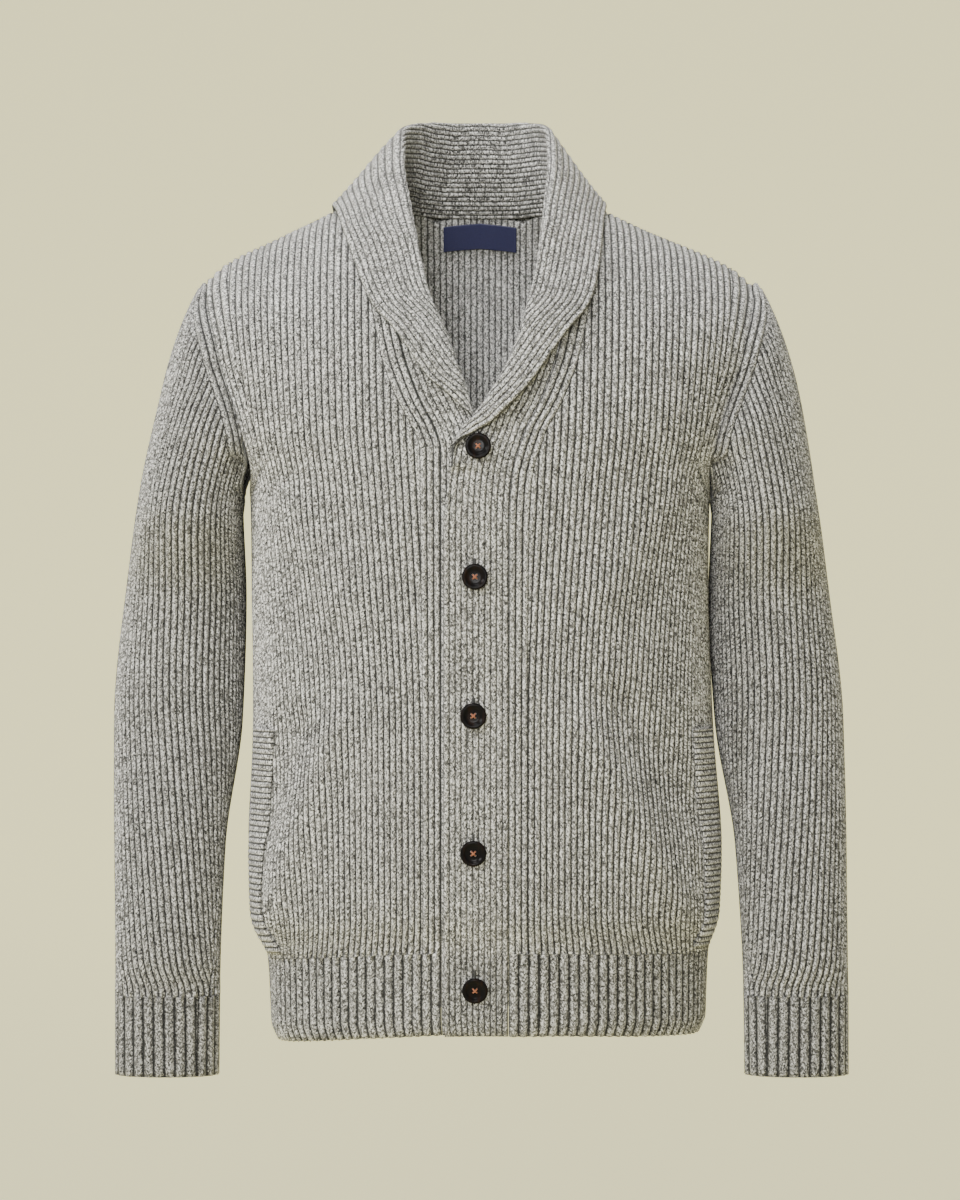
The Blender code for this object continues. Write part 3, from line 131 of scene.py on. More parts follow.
# Front edge, where the strip of band and collar is sewn on: level and distance across
FRONT_EDGE = (
    (0.0, 0.0222), (5.6, 0.0225), (6.0, 0.0235), (6.3, 0.0258), (6.6, 0.0305), (6.9, 0.0365),
    (7.15, 0.0447), (7.35, 0.0505), (7.85, 0.061), (8.5, 0.068), (9.0, 0.0725),
    (10.0, 0.0785), (11.0, 0.0815), (12.0, 0.083),
)
BACK_EDGE = (
    (10.0, 12 * COLUMN), (10.25, 0.045), (10.5, 0.0555), (11.0, 0.070), (11.5, 0.078),
    (12.0, 0.083),
)
UNDER_EDGE = 0.0312  # the right front stops here, so that its band reaches under the left one
LAP_OVER = 0.00175  # the left edge is this far out
LAP_UNDER = 0.00165  # the right edge is this far in
LAP_FADE = 0.040  # along the cloth, from the lap to where it lies in line again

# Sleeve: rings from the cuff's edge up, then the cap's rows, one for each torso level
SLEEVE_COLUMNS = ("height", "inner", "outer", "middle", "depth")
SLEEVE = (
    (-0.7120, 0.2155, 0.2995, -0.034, 0.0260),  # 0 cuff edge
    (-0.6480, 0.2148, 0.2997, -0.031, 0.0270),  # 1 cuff's top
    (-0.6200, 0.2143, 0.2998, -0.027, 0.0360),  # 2
    (-0.5250, 0.2087, 0.2998, -0.010, 0.0450),  # 3
    (-0.4250, 0.1930, 0.2988, 0.012, 0.0540),  # 4 elbow
    (-0.3280, 0.1888, 0.2890, 0.024, 0.0620),  # 5
    (-0.2520, 0.1900, 0.2765, 0.000, 0.0700),  # 6 underarm
    (-0.1990, 0.1755, 0.2685, 0.000, 0.0690),  # 7
    (-0.1550, 0.1655, 0.2605, 0.001, 0.0640),  # 8
    (-0.1280, 0.1745, 0.2535, 0.003, 0.0590),  # 9
    (-0.0995, 0.1973, 0.2437, 0.006, 0.0460),  # 10
    (-0.0760, 0.2140, 0.2330, 0.009, 0.0260),  # 11
    (-0.0680, 0.2235, 0.2255, 0.010, 0.0030),  # 12 shoulder point
)
SLEEVE_ROUND = 2.2

# How far out each sleeve hangs beyond the table, by level
SLEEVE_LEAN = {
    1: ((0, -0.0010), (2, -0.0010), (4, 0.0), (12, 0.0)),
    -1: ((0, -0.0040), (2, -0.0035), (3, -0.0010), (4, 0.0022), (5, 0.0042), (6, 0.0042),
         (8, 0.0), (12, 0.0)),
}
UNDERARM_SHIFT = np.array([0.0056, 0, 0.0046])  # of the cap's lowest corner from the armhole
UNDERARM_NORMAL = np.array([-0.35, 0, -0.94])  # which way the cloth faces there
CAP_BLEND = 0.055  # from the armhole seam, how far the cap takes the seam's shape

# Collar: a line for each station from the break point to the middle of the back. The seam
# is where the strip is sewn on, the fold is its roll, and the edge is where the fall ends.
# A fold_y of 0 lies on the chest. Stations after SIDE_STATION are on the back.
COLLAR_COLUMNS = ("seam_level", "fold_x", "fold_y", "fold_z", "edge_across", "edge_level")
COLLAR = (
    (6.30, -0.0240, 0.000, -0.2225, -0.0190, 6.45),  # 0 break point
    (6.42, -0.0212, 0.000, -0.2075, -0.0150, 6.65),  # 1
    (6.52, -0.0132, 0.000, -0.1925, -0.0020, 6.82),  # 2
    (6.60, -0.0039, 0.000, -0.1824, 0.0070, 6.90),  # 3
    (6.90, 0.0047, 0.000, -0.1707, 0.0171, 7.05),  # 4
    (7.15, 0.0157, 0.000, -0.1534, 0.0310, 7.25),  # 5
    (7.50, 0.0236, 0.000, -0.1384, 0.0440, 7.50),  # 6
    (8.00, 0.0332, 0.000, -0.1084, 0.0680, 8.15),  # 7
    (8.50, 0.0396, -0.1060, -0.0863, 0.0835, 8.72),  # 8
    (9.50, 0.0478, -0.0870, -0.0443, 0.0965, 9.75),  # 9
    (11.00, 0.0530, -0.0630, -0.0066, 0.1035, 10.95),  # 10
    (12.00, 0.0570, -0.0300, 0.0300, 0.1080, 12.00),  # 11 side, at the shoulder seam
    (11.50, 0.0560, 0.0060, 0.0560, 0.1060, 11.10),  # 12
    (11.00, 0.0500, 0.0380, 0.0670, 0.0960, 10.35),  # 13
    (10.50, 0.0370, 0.0600, 0.0710, 0.0700, 9.90),  # 14
    (10.00, 0.0190, 0.0730, 0.0725, 0.0370, 9.72),  # 15
    (10.00, 0.0000, 0.0770, 0.0730, 0.0000, 9.70),  # 16 middle of the back
)
SIDE_STATION, LAST_SEAM_STATION, BACK_STATION = 11, 15, 16
UNDER_BREAK = 3  # the lower half's break point is at this station

# Where that half's fold differs from the table: station, fold_x and fold_z
UNDER_FOLD = {
    3: (-0.0016, -0.2031), 4: (0.0043, -0.1853), 5: (0.0097, -0.1645), 6: (0.0190, -0.1391),
    7: (0.0303, -0.1072),
}
FALL_STATION = 8  # from here to the back, the same ribs lie between the free edge and the fold
ROLL_SPAN = {1: 1.6, -1: 1.2}  # stations over which each half rolls from flat to folded

# The collar leans to the right: how far out its edge and fold are, at each station
EDGE_SPREAD = {
    1: ((0, 1.0), (7, 1.0), (8, 1.03), (9, 0.985), (10, 0.955), (12, 0.93), (14, 0.95), (16, 1.0)),
    -1: ((0, 0.64), (4, 0.64), (5, 0.77), (6, 0.97), (7, 0.98), (8, 1.04), (10, 1.09),
         (12, 1.10), (14, 1.07), (16, 1.0)),
}
FOLD_SPREAD = {
    1: ((0, 1.0), (16, 1.0)),
    -1: ((0, 1.0), (8, 1.0), (10, 1.08), (12, 1.13), (14, 1.08), (16, 1.0)),
}
COLLAR_WALL = 0.0022
ROLL = 0.0037  # radius of the fold, to the face that shows
EDGE_LIFT = 0.0080  # the fall's face above the inside of the panel that it lies on
FALL_CLEAR = OUT + COLLAR_WALL + 0.0017  # never less than this above it
FALL_BULGE = {  # of the fall's length, at each station
    1: ((0, 0.045), (12, 0.045), (16, 0.06)),
    -1: ((0, 0.085), (9, 0.085), (11, 0.060), (16, 0.06)),
}
STAND_BEND = 0.30  # of the stand's length, in which it turns up from the panel
NECK_LINE = (-0.0055, -0.0013)  # the back neck seam's height at its corners, and its dip
NECK_FORWARD = 0.0010  # how far the stand's edge lies over the back panel
LAPEL_LIFT = 0.0045  # how much further the upper lapel stands off the chest
STAND_TIGHTER = 0.14  # how much finer the stand's ribs are round the neck
FOLD_KEY, SEAM_KEY = 400, 1000  # column numbers of the collar's fold and seam

# Bands
BAND_FREE = -0.0285  # the upper band's free edge
BAND_UNDER_FREE = 0.0205  # the lower band's free edge
BAND_WALL = 0.0016
BAND_RIB = 0.0005
BAND_LEVELS = (0.0, 1.0, 2.4, 4.0, 5.99)  # between these the solid band is straight

# Pocket welts
WELT_BOTTOM, WELT_TOP = -0.601, -0.432
WELT_INNER_BOTTOM, WELT_INNER_TOP = 0.056, 0.066  # from the side seam, along the cloth
WELT_OUTER = 0.028  # from the side seam to its outer edge
WELT_WALL = 0.0018
LAID_GAP = 0.0008  # between a panel's ribs and what lies on it

# Buttons
BUTTON_PLACES = (  # across, height, and how far its back is above the inside of the band
    (-0.0015, -0.2075, 0.0042), (-0.0040, -0.3098, 0.0025), (-0.0052, -0.4190, 0.0025),
    (-0.0052, -0.5268, 0.0025), (-0.0040, -0.6351, 0.0025),
)
HOLE_SPREAD = 0.0016  # of each hole's middle from the button's, both ways
HOLE_RADIUS = 0.0009

# Neck label
LABEL_HALF_WIDTH = 0.031
LABEL_LEVELS = (9.50, 9.91)
LABEL_THICK = 0.0006
LABEL_GAP = 0.0008

# How finely the smooth surfaces are kept
FINE_LEVELS = np.linspace(0, SHOULDER, 241)
AROUND = 301
SLEEVE_AROUND, SLEEVE_FINE = 181, 400
COLLAR_LEVELS = np.linspace(0, BACK_STATION, 97)
COLLAR_AROUND, STAND_FINE, ROLL_FINE = 121, 80, 60

# The knit
RIB_PITCH = 0.0052  # of the body and sleeves
HEM_PITCH = 0.0078
CUFF_PITCH = 0.0084
WELT_PITCH = 0.0044
COURSE = 0.0040  # height of a stitch
VALLEY = 0.0011  # the wall between two ribs, from the plain inside
INSIDE_DEPTH = 0.0009  # of the ribs on the inside
SHAPED_RIBS = 3  # ribs that follow a shaped edge
OVER_SEAM = 0.0006  # how far a panel reaches over the armhole seam
# The body's ribs fan out to the shoulders: level, and the share of the pitch or the move out
SPREAD = (
    (0.0, 1.0), (1.0, 0.97), (2.0, 0.93), (4.0, 0.94), (6.0, 1.04), (7.0, 1.07), (12.0, 1.05),
)
DRIFT = (
    (0.0, 0.0), (4.0, 0.0), (5.0, 0.0022), (6.0, 0.0055), (8.0, 0.0095), (10.0, 0.0110),
    (12.0, 0.0110),
)
RIB_COURSES = 16.2  # courses of hem and cuffs, drawn darker as painted shade for the dimmer light low down
INSIDE_COURSE = 1000  # added to the courses of the inside, which is drawn paler as painted light
PER_RIB = 4  # columns of points for each rib
ROW_STEP = 0.0058
TURN = 0.0004  # from the last row of hem or cuff to the first of the finer knit
BODY_START = HEM_TOP + 0.012  # levels of those first rows
ARM_START = 1.015
CAP_START, CAP_STOP, CAP_TURN = UNDERARM + 0.12, 11.85, 0.004
STRIP_PITCH = 0.0046
SELVEDGE, SELVEDGE_REACH = 0.0009, 0.0045  # how far the strip's free edge rolls out, and in
WELT_DEPTH = 0.0011
WELT_COLUMNS = 13
WELT_EDGE = 0.0009  # how much lower its long edges lie
BUTTON_PROFILE = (  # radius and height, from the middle of the face round to the back
    (0.0000, 0.0022), (0.0040, 0.0022), (0.0056, 0.0023), (0.0064, 0.0026), (0.0070, 0.0031),
    (0.0077, 0.0035), (0.0085, 0.0037), (0.0093, 0.0036), (0.0099, 0.0032), (0.01023, 0.0025),
    (0.01025, 0.0018), (0.0098, 0.0008), (0.0088, 0.0001), (0.0080, 0.0000), (0.0000, 0.0000),
)
BUTTON_SIDES = 64
BUTTON_FACE = 0.0022
THREAD_RADIUS = 0.00036
HOLE_ABOVE = 0.0120  # a buttonhole's middle above its button's
HOLE_LENGTH = 0.0060
HOLE_HALF_WIDTH = 0.0011
# Painted shade: the near-black of a buttonhole's slit, where the gap lies in shadow
SLIT_SHADE = (0.012, 0.012, 0.011)

# The stage
FLOOR = -2.6
STAGE_HALF = 30.0
STAGE_TOP = 20.0
STAGE_GLOW = 0.93
SWEEP_BACK = 8.0  # far enough for views from behind to stand before it
SWEEP_ROUND = 1.4
WORLD_LIGHT = 0.19
LOOK_AT = (0.0, 0.0, -0.35)
LIGHTS = (  # name, place, size, power
    ("key", (-2.4, -1.8, 0.9), (0.9, 0.9), 93.0),
    ("top", (-0.5, -1.5, 1.3), (0.8, 0.8), 42.0),
    ("front", (-0.25, -3.4, 0.10), (0.7, 0.7), 76.0),
    ("backdrop", (0.0, 0.6, 3.2), (4.0, 2.0), 185.0),
)
CAMERA_AT = (0.0, -3.0, -0.328)
CAMERA_LENS = 109.76


def smooth(knots, values, at):
    """Values between knots, on a curve that never swings past them."""
    knots, values, at = (np.asarray(a, float) for a in (knots, values, at))
    step = np.diff(knots)
    slope = np.diff(values) / step
    left, right = slope[:-1], slope[1:]
    same_way = left * right > 0
    total = np.where(same_way, left + right, 1.0)
    inner = np.where(same_way, 2 * left * right / total, 0.0)
    tangent = np.concatenate([[slope[0]], inner, [slope[-1]]])
    i = np.clip(np.searchsorted(knots, at, side="right") - 1, 0, len(step) - 1)
    u = np.clip((at - knots[i]) / step[i], 0.0, 1.0)
    start = (1 + 2 * u) * (1 - u) ** 2 * values[i] + u * (1 - u) ** 2 * step[i] * tangent[i]
    end = u * u * (3 - 2 * u) * values[i + 1] - u * u * (1 - u) * step[i] * tangent[i + 1]
    return start + end


def pairs(table, places):
    """A table of two columns, read at any places."""
    return smooth(*zip(*table), places)


def table_at(table, level):
    """A table of two columns, read at one level."""
    return float(pairs(table, level))


def line_at(table, level, names, *wanted):
    """The wanted columns of a table with a line for each level, read at any level."""
    return [float(smooth(range(len(table)), [line[names.index(name)] for line in table], level))
            for name in wanted or names]


def soft_step(u):
    """0 to 1, level at both ends."""
    u = np.clip(u, 0.0, 1.0)
    return u * u * (3 - 2 * u)


def unit(vectors):
    """Each vector at length 1."""
    return vectors / np.maximum(np.linalg.norm(vectors, axis=-1, keepdims=True), 1e-12)


def run_along(points):
    """How far each point of a line is from its first, along it."""
    steps = np.linalg.norm(np.diff(points, axis=0), axis=1)
    return np.concatenate([[0], np.cumsum(steps)])


def power(value, exponent):
    """A power that keeps the sign."""
    return np.sign(value) * np.abs(value) ** exponent


def folds(x, z, front):
    """How far the cloth's largest folds stand out, at a place on the torso."""
    total = 0.0
    for start, end, width, height in CREASES[front]:
        along = np.array(end) - np.array(start)
        length = np.linalg.norm(along)
        along = along / length
        u = ((x - start[0]) * along[0] + (z - start[1]) * along[1]) / length
        off = (x - start[0]) * along[1] - (z - start[1]) * along[0]
        fade = soft_step(u / 0.3 + 0.5) * soft_step((1 - u) / 0.3 + 0.5)
        total = total + CREASE * height * fade * np.exp(-((off / width) ** 2))
    return total


class Sheet:
    """A smooth surface kept as a grid of points and normals, read between its points."""

    def __init__(self, levels, points):
        self.top = levels[-1]
        self.points = points
        self.normals = unit(np.cross(np.gradient(points, axis=1), np.gradient(points, axis=0)))

    def read(self, level, share):
        """Points and normals at a level and a share of the way across, from 0 to 1."""
        rows, columns = self.points.shape[:2]
        level, share = np.broadcast_arrays(np.asarray(level, float), share)
        a = np.clip(level / self.top, 0, 1) * (rows - 1)
        b = np.clip(share, 0, 1) * (columns - 1)
        i = np.minimum(a.astype(int), rows - 2)
        j = np.minimum(b.astype(int), columns - 2)
        u, v = (a - i)[..., None], (b - j)[..., None]
        out = []
        for grid in (self.points, self.normals):
            low = grid[i, j] * (1 - v) + grid[i, j + 1] * v
            high = grid[i + 1, j] * (1 - v) + grid[i + 1, j + 1] * v
            out.append(low * (1 - u) + high * u)
        return out[0], unit(out[1])


def torso_half(side):
    """Half the torso as a sheet, from the middle of the front round to that of the back."""
    angle = np.linspace(0, math.pi, 241)
    points = np.zeros((len(FINE_LEVELS), AROUND, 3))
    lengths = np.zeros((len(FINE_LEVELS), 2))
    for row, level in enumerate(FINE_LEVELS):
        height, drop, half_width, front, back, middle, roundness = line_at(
            TORSO, level, TORSO_COLUMNS)
        x = (half_width - OUT) * power(np.sin(angle), 2 / roundness)
        y = -power(np.cos(angle), 2 / roundness)
        depth = np.where(y < 0, front, back) - OUT * min(1.0, front / 0.05)
        y = middle + y * np.maximum(depth, 0.0003)
        steps = np.concatenate([[0], np.cumsum(np.hypot(np.diff(x), np.diff(y)))])
        lengths[row] = np.interp(math.pi / 2, angle, steps), steps[-1]
        even = np.linspace(0, steps[-1], AROUND)
        x, y = np.interp(even, steps, x), np.interp(even, steps, y)
        shoulder = pairs(SHOULDER_LINE, x) + pairs(SHOULDER_TILT[side], x)
        z = height - OUT * soft_step((level - 8) / 3) + drop * shoulder
        at_side = (x / half_width) ** 2
        tucked = 1 - HEM_TUCK * (1 - float(soft_step(level / 0.22))) ** 2
        x, y = x * tucked, y * tucked
        z = z - table_at(SAG, min(level, 4.0)) * (1 - side * SAG_TILT) * at_side
        x = side * x + table_at(LEAN, min(level, 5.0)) * at_side
        points[row] = np.stack([x, y, z], axis=-1)
    sheet = Sheet(FINE_LEVELS, points)
    normals = sheet.normals * side
    normals[:, (0, -1), 0] = 0
    normals[-1, :, 1] = 0
    sheet.normals = unit(normals)
    share_of_front = lengths[:, :1] / lengths[:, 1:]
    on_front = np.linspace(0, 1, AROUND)[None, :] < share_of_front
    push = np.where(on_front, *(folds(points[..., 0], points[..., 2], front)
                                for front in (True, False)))
    at_side = np.abs(np.linspace(0, 1, AROUND)[None, :] - share_of_front)
    push = push * soft_step(at_side / 0.08) * soft_step(FINE_LEVELS / 1.5)[:, None]
    sheet.points = points + sheet.normals * push[..., None]
    return sheet, lengths

TORSO_HALVES = {side: torso_half(side) for side in (1, -1)}
FRONT_LENGTH, HALF_LENGTH = TORSO_HALVES[1][1].T


def quarter(level, behind):
    """From the middle to the side seam, along the cloth."""
    front = np.interp(level, FINE_LEVELS, FRONT_LENGTH)
    return np.interp(level, FINE_LEVELS, HALF_LENGTH) - front if behind else front


def torso(level, along, behind):
    """Inside points and outward normals at a distance along the cloth from the middle."""
    level, along = np.broadcast_arrays(np.asarray(level, float), np.asarray(along, float))
    whole = np.interp(level, FINE_LEVELS, HALF_LENGTH)
    share = np.abs(along) / whole
    share = 1 - share if behind else share
    left, right = (TORSO_HALVES[side][0].read(level, share) for side in (1, -1))
    on_left = (along >= 0)[..., None]
    return np.where(on_left, left[0], right[0]), np.where(on_left, left[1], right[1])


def along_at(level, across, behind):
    """The distance along the cloth at which the torso is this far across."""
    tries = np.linspace(0, float(quarter(level, behind)), 400)
    x = (torso(level, tries, behind)[0][:, 0] - torso(level, -tries, behind)[0][:, 0]) / 2
    return float(np.interp(across, x, tries))


def armhole(level, behind):
    """Where the armhole's edge is at a level, along the cloth."""
    half_width, roundness = line_at(TORSO, level, TORSO_COLUMNS, "half_width", "round")
    share = table_at(ARMHOLE, level)
    if share < 0.001:
        return float(quarter(level, behind))
    across = (half_width - OUT) * (1 - share**roundness) ** (1 / roundness)
    return along_at(level, across, behind)


def panel_end(level, behind):
    """A panel's outer edge: the side seam, then the armhole."""
    if level < UNDERARM - 0.005:
        return float(quarter(level, behind)) - GAP / 2
    return armhole(min(level + 0.012, SHOULDER), behind) - GAP


def front_edge(level):
    """The front's edge along the cloth, where the strip is sewn on."""
    return along_at(level, table_at(FRONT_EDGE, level), False)


def lap(side, along):
    """How far the two fronts are pushed apart where one laps over the other."""
    amount = LAP_OVER if side > 0 else -LAP_UNDER
    return amount * (1 - soft_step((np.abs(along) - UNDER_EDGE) / LAP_FADE))


def front_place(level, side):
    """Places on a front panel's row, with its lap at the placket."""
    def place(along):
        points, normals = torso(level, side * np.asarray(along), False)
        return points + normals * lap(side, along)[:, None], normals
    return place


def sleeve_sheet():
    """The left sleeve's inside as a sheet, from the underarm round by the front."""
    levels = FINE_LEVELS
    points = np.zeros((len(levels), SLEEVE_AROUND, 3))
    lengths = np.zeros((len(levels), 2))
    ends = {}
    for row, level in enumerate(levels):
        height, inner, outer, middle, depth = line_at(SLEEVE, level, SLEEVE_COLUMNS)
        thin = OUT * min(1.0, depth / 0.03)
        inner, outer, depth = inner + thin, outer - thin, depth - thin
        centre, half = (inner + outer) / 2, (outer - inner) / 2
        stops = [math.pi, math.pi]
        for behind in (False, True):
            if level >= UNDERARM:
                point, normal = torso(level, armhole(level, behind), behind)
                near = float(1 - soft_step((level - UNDERARM) / 0.7))
                point = point + near * UNDERARM_SHIFT
                ends[row, behind] = point, unit((1 - near) * normal + near * UNDERARM_NORMAL)
                reach = float(np.clip((point[0] - centre) / half, -1, 1))
                stops[behind] = math.acos(float(power(reach, SLEEVE_ROUND / 2)))
        angle = np.concatenate([np.linspace(-stops[0], 0, SLEEVE_FINE),
                                np.linspace(0, stops[1], SLEEVE_FINE)[1:]])
        x = centre + half * power(np.cos(angle), 2 / SLEEVE_ROUND)
        y = middle + depth * power(np.sin(angle), 2 / SLEEVE_ROUND)
        curve = np.stack([x, y, np.full_like(x, height)], axis=-1)
        steps = run_along(curve)
        for behind, start in ((False, 0), (True, -1)):
            if (row, behind) in ends:
                away = np.abs(steps - steps[start]) / min(CAP_BLEND, steps[-1] / 2)
                weight = np.clip(1 - away, 0, 1) ** 2
                curve = curve + weight[:, None] * (ends[row, behind][0] - curve[start])
        steps = run_along(curve)
        top = steps[SLEEVE_FINE - 1]
        lengths[row] = top, steps[-1] - top
        even = np.concatenate([np.linspace(0, top, SLEEVE_AROUND // 2 + 1),
                               np.linspace(top, steps[-1], SLEEVE_AROUND // 2 + 1)[1:]])
        points[row] = np.stack([np.interp(even, steps, curve[:, k]) for k in range(3)], axis=-1)
    sheet = Sheet(levels, points)
    normals = sheet.normals.copy()
    for (row, behind), (_, normal) in ends.items():
        away = np.linalg.norm(points[row] - points[row, -1 if behind else 0], axis=1) / 0.018
        weight = (np.clip(1 - away, 0, 1) ** 1.5)[:, None]
        normals[row] = unit(normals[row] * (1 - weight) + normal * weight)
    sheet.normals = normals
    return sheet, lengths

SLEEVE_SHEET, SLEEVE_LENGTHS = sleeve_sheet()


def sleeve(level, along):
    """Inside points and normals of the left sleeve, along a row from its top line."""
    level, along = np.broadcast_arrays(np.asarray(level, float), np.asarray(along, float))
    ahead, behind = (np.interp(level, FINE_LEVELS, SLEEVE_LENGTHS[:, k]) for k in (0, 1))
    share = np.where(along < 0, 0.5 + 0.5 * along / ahead, 0.5 + 0.5 * along / behind)
    return SLEEVE_SHEET.read(level, share)


def sleeve_place(level, side):
    """Places on a row of one sleeve, and how far the row reaches ahead and behind."""
    flip = np.array([side, 1, 1])
    out = np.array([table_at(SLEEVE_LEAN[side], level), 0, 0])

    def place(along):
        points, normals = sleeve(level, along)
        return (points + out) * flip, normals * flip

    ahead, behind = (float(np.interp(level, FINE_LEVELS, SLEEVE_LENGTHS[:, k])) for k in (0, 1))
    return place, ahead, behind


def level_at(across, height):
    """The torso's level where its front is this far across and this high."""
    levels = np.linspace(0, 9.5, 96)
    z = [torso(t, along_at(t, abs(across), False), False)[0][2] for t in levels]
    return float(np.interp(height, z, levels))


def seam_along(level, side):
    """The front panel's edge at the strip, along the cloth."""
    along = front_edge(level)
    return along if side > 0 else max(along, UNDER_EDGE)


def signed_along(level, across, behind):
    """along_at for places on either side of the middle."""
    return math.copysign(along_at(level, abs(across), behind), across)


def chest_fold(station, side):
    """A station's fold, laid on the chest where its fold_y is 0."""
    line = COLLAR[station]
    if line[2]:
        return line[1] * table_at(FOLD_SPREAD[side], station), line[2], line[3]
    across, height = line[1], line[3]
    if side < 0 and station in UNDER_FOLD:
        across, height = UNDER_FOLD[station]
    level = level_at(across, height)
    along = signed_along(level, across, False)
    point, normal = torso(level, along, False)
    return point + normal * (ROLL + float(lap(side, along)))

FOLDS = {side: [chest_fold(station, side) for station in range(len(COLLAR))]
         for side in (1, -1)}
TORSO_POINTS, TORSO_NORMALS = (
    np.concatenate([grid[120::2, ::2].reshape(-1, 3) for grid in grids]) for grids in zip(
        *((half.points, half.normals) for half, _ in TORSO_HALVES.values())))


def fold_at(station, side):
    """A point of the collar's fold."""
    line = FOLDS[side]
    return np.array([float(smooth(range(len(COLLAR)), [point[k] for point in line], station))
                     for k in range(3)]) * (side, 1, 1)


def torso_tree():
    """Finds the nearest point of the torso's upper half."""
    tree = kdtree.KDTree(len(TORSO_POINTS))
    for number, point in enumerate(TORSO_POINTS):
        tree.insert(point, number)
    tree.balance()
    return tree

TORSO_TREE = torso_tree()


def pushed_clear(points, need):
    """Points moved out until each is at least so far from the inside of the torso."""
    out = points.copy()
    for k, point in enumerate(points):
        number = TORSO_TREE.find(point)[1]
        height = float(np.dot(point - TORSO_POINTS[number], TORSO_NORMALS[number]))
        if height < need[k]:
            out[k] += TORSO_NORMALS[number] * (need[k] - height)
    return out


def panel_corner(level, side, behind):
    """Inside point and normal at the neck edge of one row of a panel."""
    if behind:
        return torso(level, side * along_at(level, table_at(BACK_EDGE, level), True), True)
    along = seam_along(level, side)
    point, normal = torso(level, side * along, False)
    return point + normal * float(lap(side, along)), normal


def collar_seam(station, side):
    """Where the strip is sewn on: inside point and normal, on the panels' smooth edges."""
    level, = line_at(COLLAR, station, COLLAR_COLUMNS, "seam_level")
    behind = station > SIDE_STATION
    if station > LAST_SEAM_STATION:
        point, normal = torso(level, side * 12 * COLUMN * (BACK_STATION - station), True)
    else:
        point, normal = panel_corner(level, side, behind)
        run = unit(panel_corner(level + 0.05, side, behind)[0] - point)
        inward = unit(np.cross(run, normal))
        point = point + inward * (-1 if inward[0] * side > 0 else 1) * GAP * 1.5
    turned = float(soft_step((station - 13.3) / 0.9))
    straight = NECK_LINE[0] + NECK_LINE[1] * float(soft_step((station - 13.5) / 2.5))
    level_with = point * (1, 1, 0) + np.array([0, -NECK_FORWARD, straight])
    return point + turned * (level_with - point), normal


def bent(start, bend, end, count):
    """A curve from start to end that leaves towards bend."""
    u = np.linspace(0, 1, count)[:, None]
    return (1 - u) ** 2 * start + 2 * u * (1 - u) * bend + u * u * end


def collar_section(station, side):
    """The strip's inner face across one station, from the seam over the fold to the edge."""
    seam, normal = collar_seam(station, side)
    fold = fold_at(station, side)
    across, level = line_at(COLLAR, station, COLLAR_COLUMNS, "edge_across", "edge_level")
    behind = station > SIDE_STATION
    across = across * table_at(EDGE_SPREAD[side], station)
    along = signed_along(level, across, behind)
    edge, edge_normal = torso(level, side * along, behind)
    if side > 0:
        edge = edge + edge_normal * (LAPEL_LIFT * float(
            soft_step((station - 1.5) / 3) * soft_step((10 - station) / 3)))
    lifted = EDGE_LIFT + (0 if behind else float(lap(side, along)))
    edge = edge + edge_normal * lifted
    up, down = unit(fold - seam), unit(edge - fold)
    peak = unit(up - down)
    width = edge - seam
    width = unit(width - peak * np.dot(width, peak))
    centre = fold - peak * ROLL

    def touching(point, way):
        flat = np.array([np.dot(point - centre, width), np.dot(point - centre, peak)])
        angle = math.atan2(flat[1], flat[0])
        return angle + way * math.acos(min(1.0, ROLL / np.hypot(*flat)))

    first, last = touching(seam, -1), touching(edge, 1)
    first = first + 2 * math.pi if first < math.pi / 2 else first
    start = 0 if side > 0 else UNDER_BREAK
    rolled = (station - start) / ROLL_SPAN[side]
    turn = (first - last) * min(1.0, rolled)
    angle = np.linspace(first, first - turn, ROLL_FINE)[:, None]
    arc = centre + ROLL * (np.cos(angle) * width + np.sin(angle) * peak)
    reach = 0.1 + 0.9 * float(soft_step((station - 12.0) / 1.5))
    toward = unit(np.cross(normal, collar_seam(min(station + reach, BACK_STATION), side)[0]
                           - collar_seam(max(station - reach, start), side)[0]))
    toward = toward * np.sign(np.dot(toward, fold - seam) or 1.0)
    turned_up = float(soft_step((station - start) / 3))
    toward = unit(toward * turned_up + unit(arc[0] - seam) * (1 - turned_up))
    stand_length = np.linalg.norm(arc[0] - seam)
    stand = bent(seam, seam + toward * stand_length * STAND_BEND, arc[0], STAND_FINE)
    fall = edge - arc[-1] if rolled >= 1 else (
        unit(np.sin(angle[-1]) * width - np.cos(angle[-1]) * peak)
        * np.linalg.norm(edge - arc[-1]))
    fall = fall * float(soft_step((rolled - 0.6) / 0.4))
    outward = unit(np.cross(unit(fall + 1e-9), np.cross(width, peak)))
    outward = outward * np.sign(np.dot(outward, width) or 1.0)
    end = arc[-1] + fall
    bulge = table_at(FALL_BULGE[side], station)
    middle = (arc[-1] + end) / 2 + outward * 2 * bulge * np.linalg.norm(fall)
    fall = bent(arc[-1], middle, end, STAND_FINE)
    curve = np.concatenate([stand, arc[1:], fall[1:]])
    steps = run_along(curve)
    even = np.linspace(0, steps[-1], COLLAR_AROUND)
    curve = np.stack([np.interp(even, steps, curve[:, k]) for k in range(3)], axis=-1)
    if rolled >= 1:
        past = soft_step((even - steps[STAND_FINE + ROLL_FINE - 1] - 0.002) / 0.012)
        curve = pushed_clear(curve, np.where(past > 0, FALL_CLEAR * past - 0.02 * (1 - past), -9))
    return curve, steps[-1], steps[STAND_FINE - 1], normal


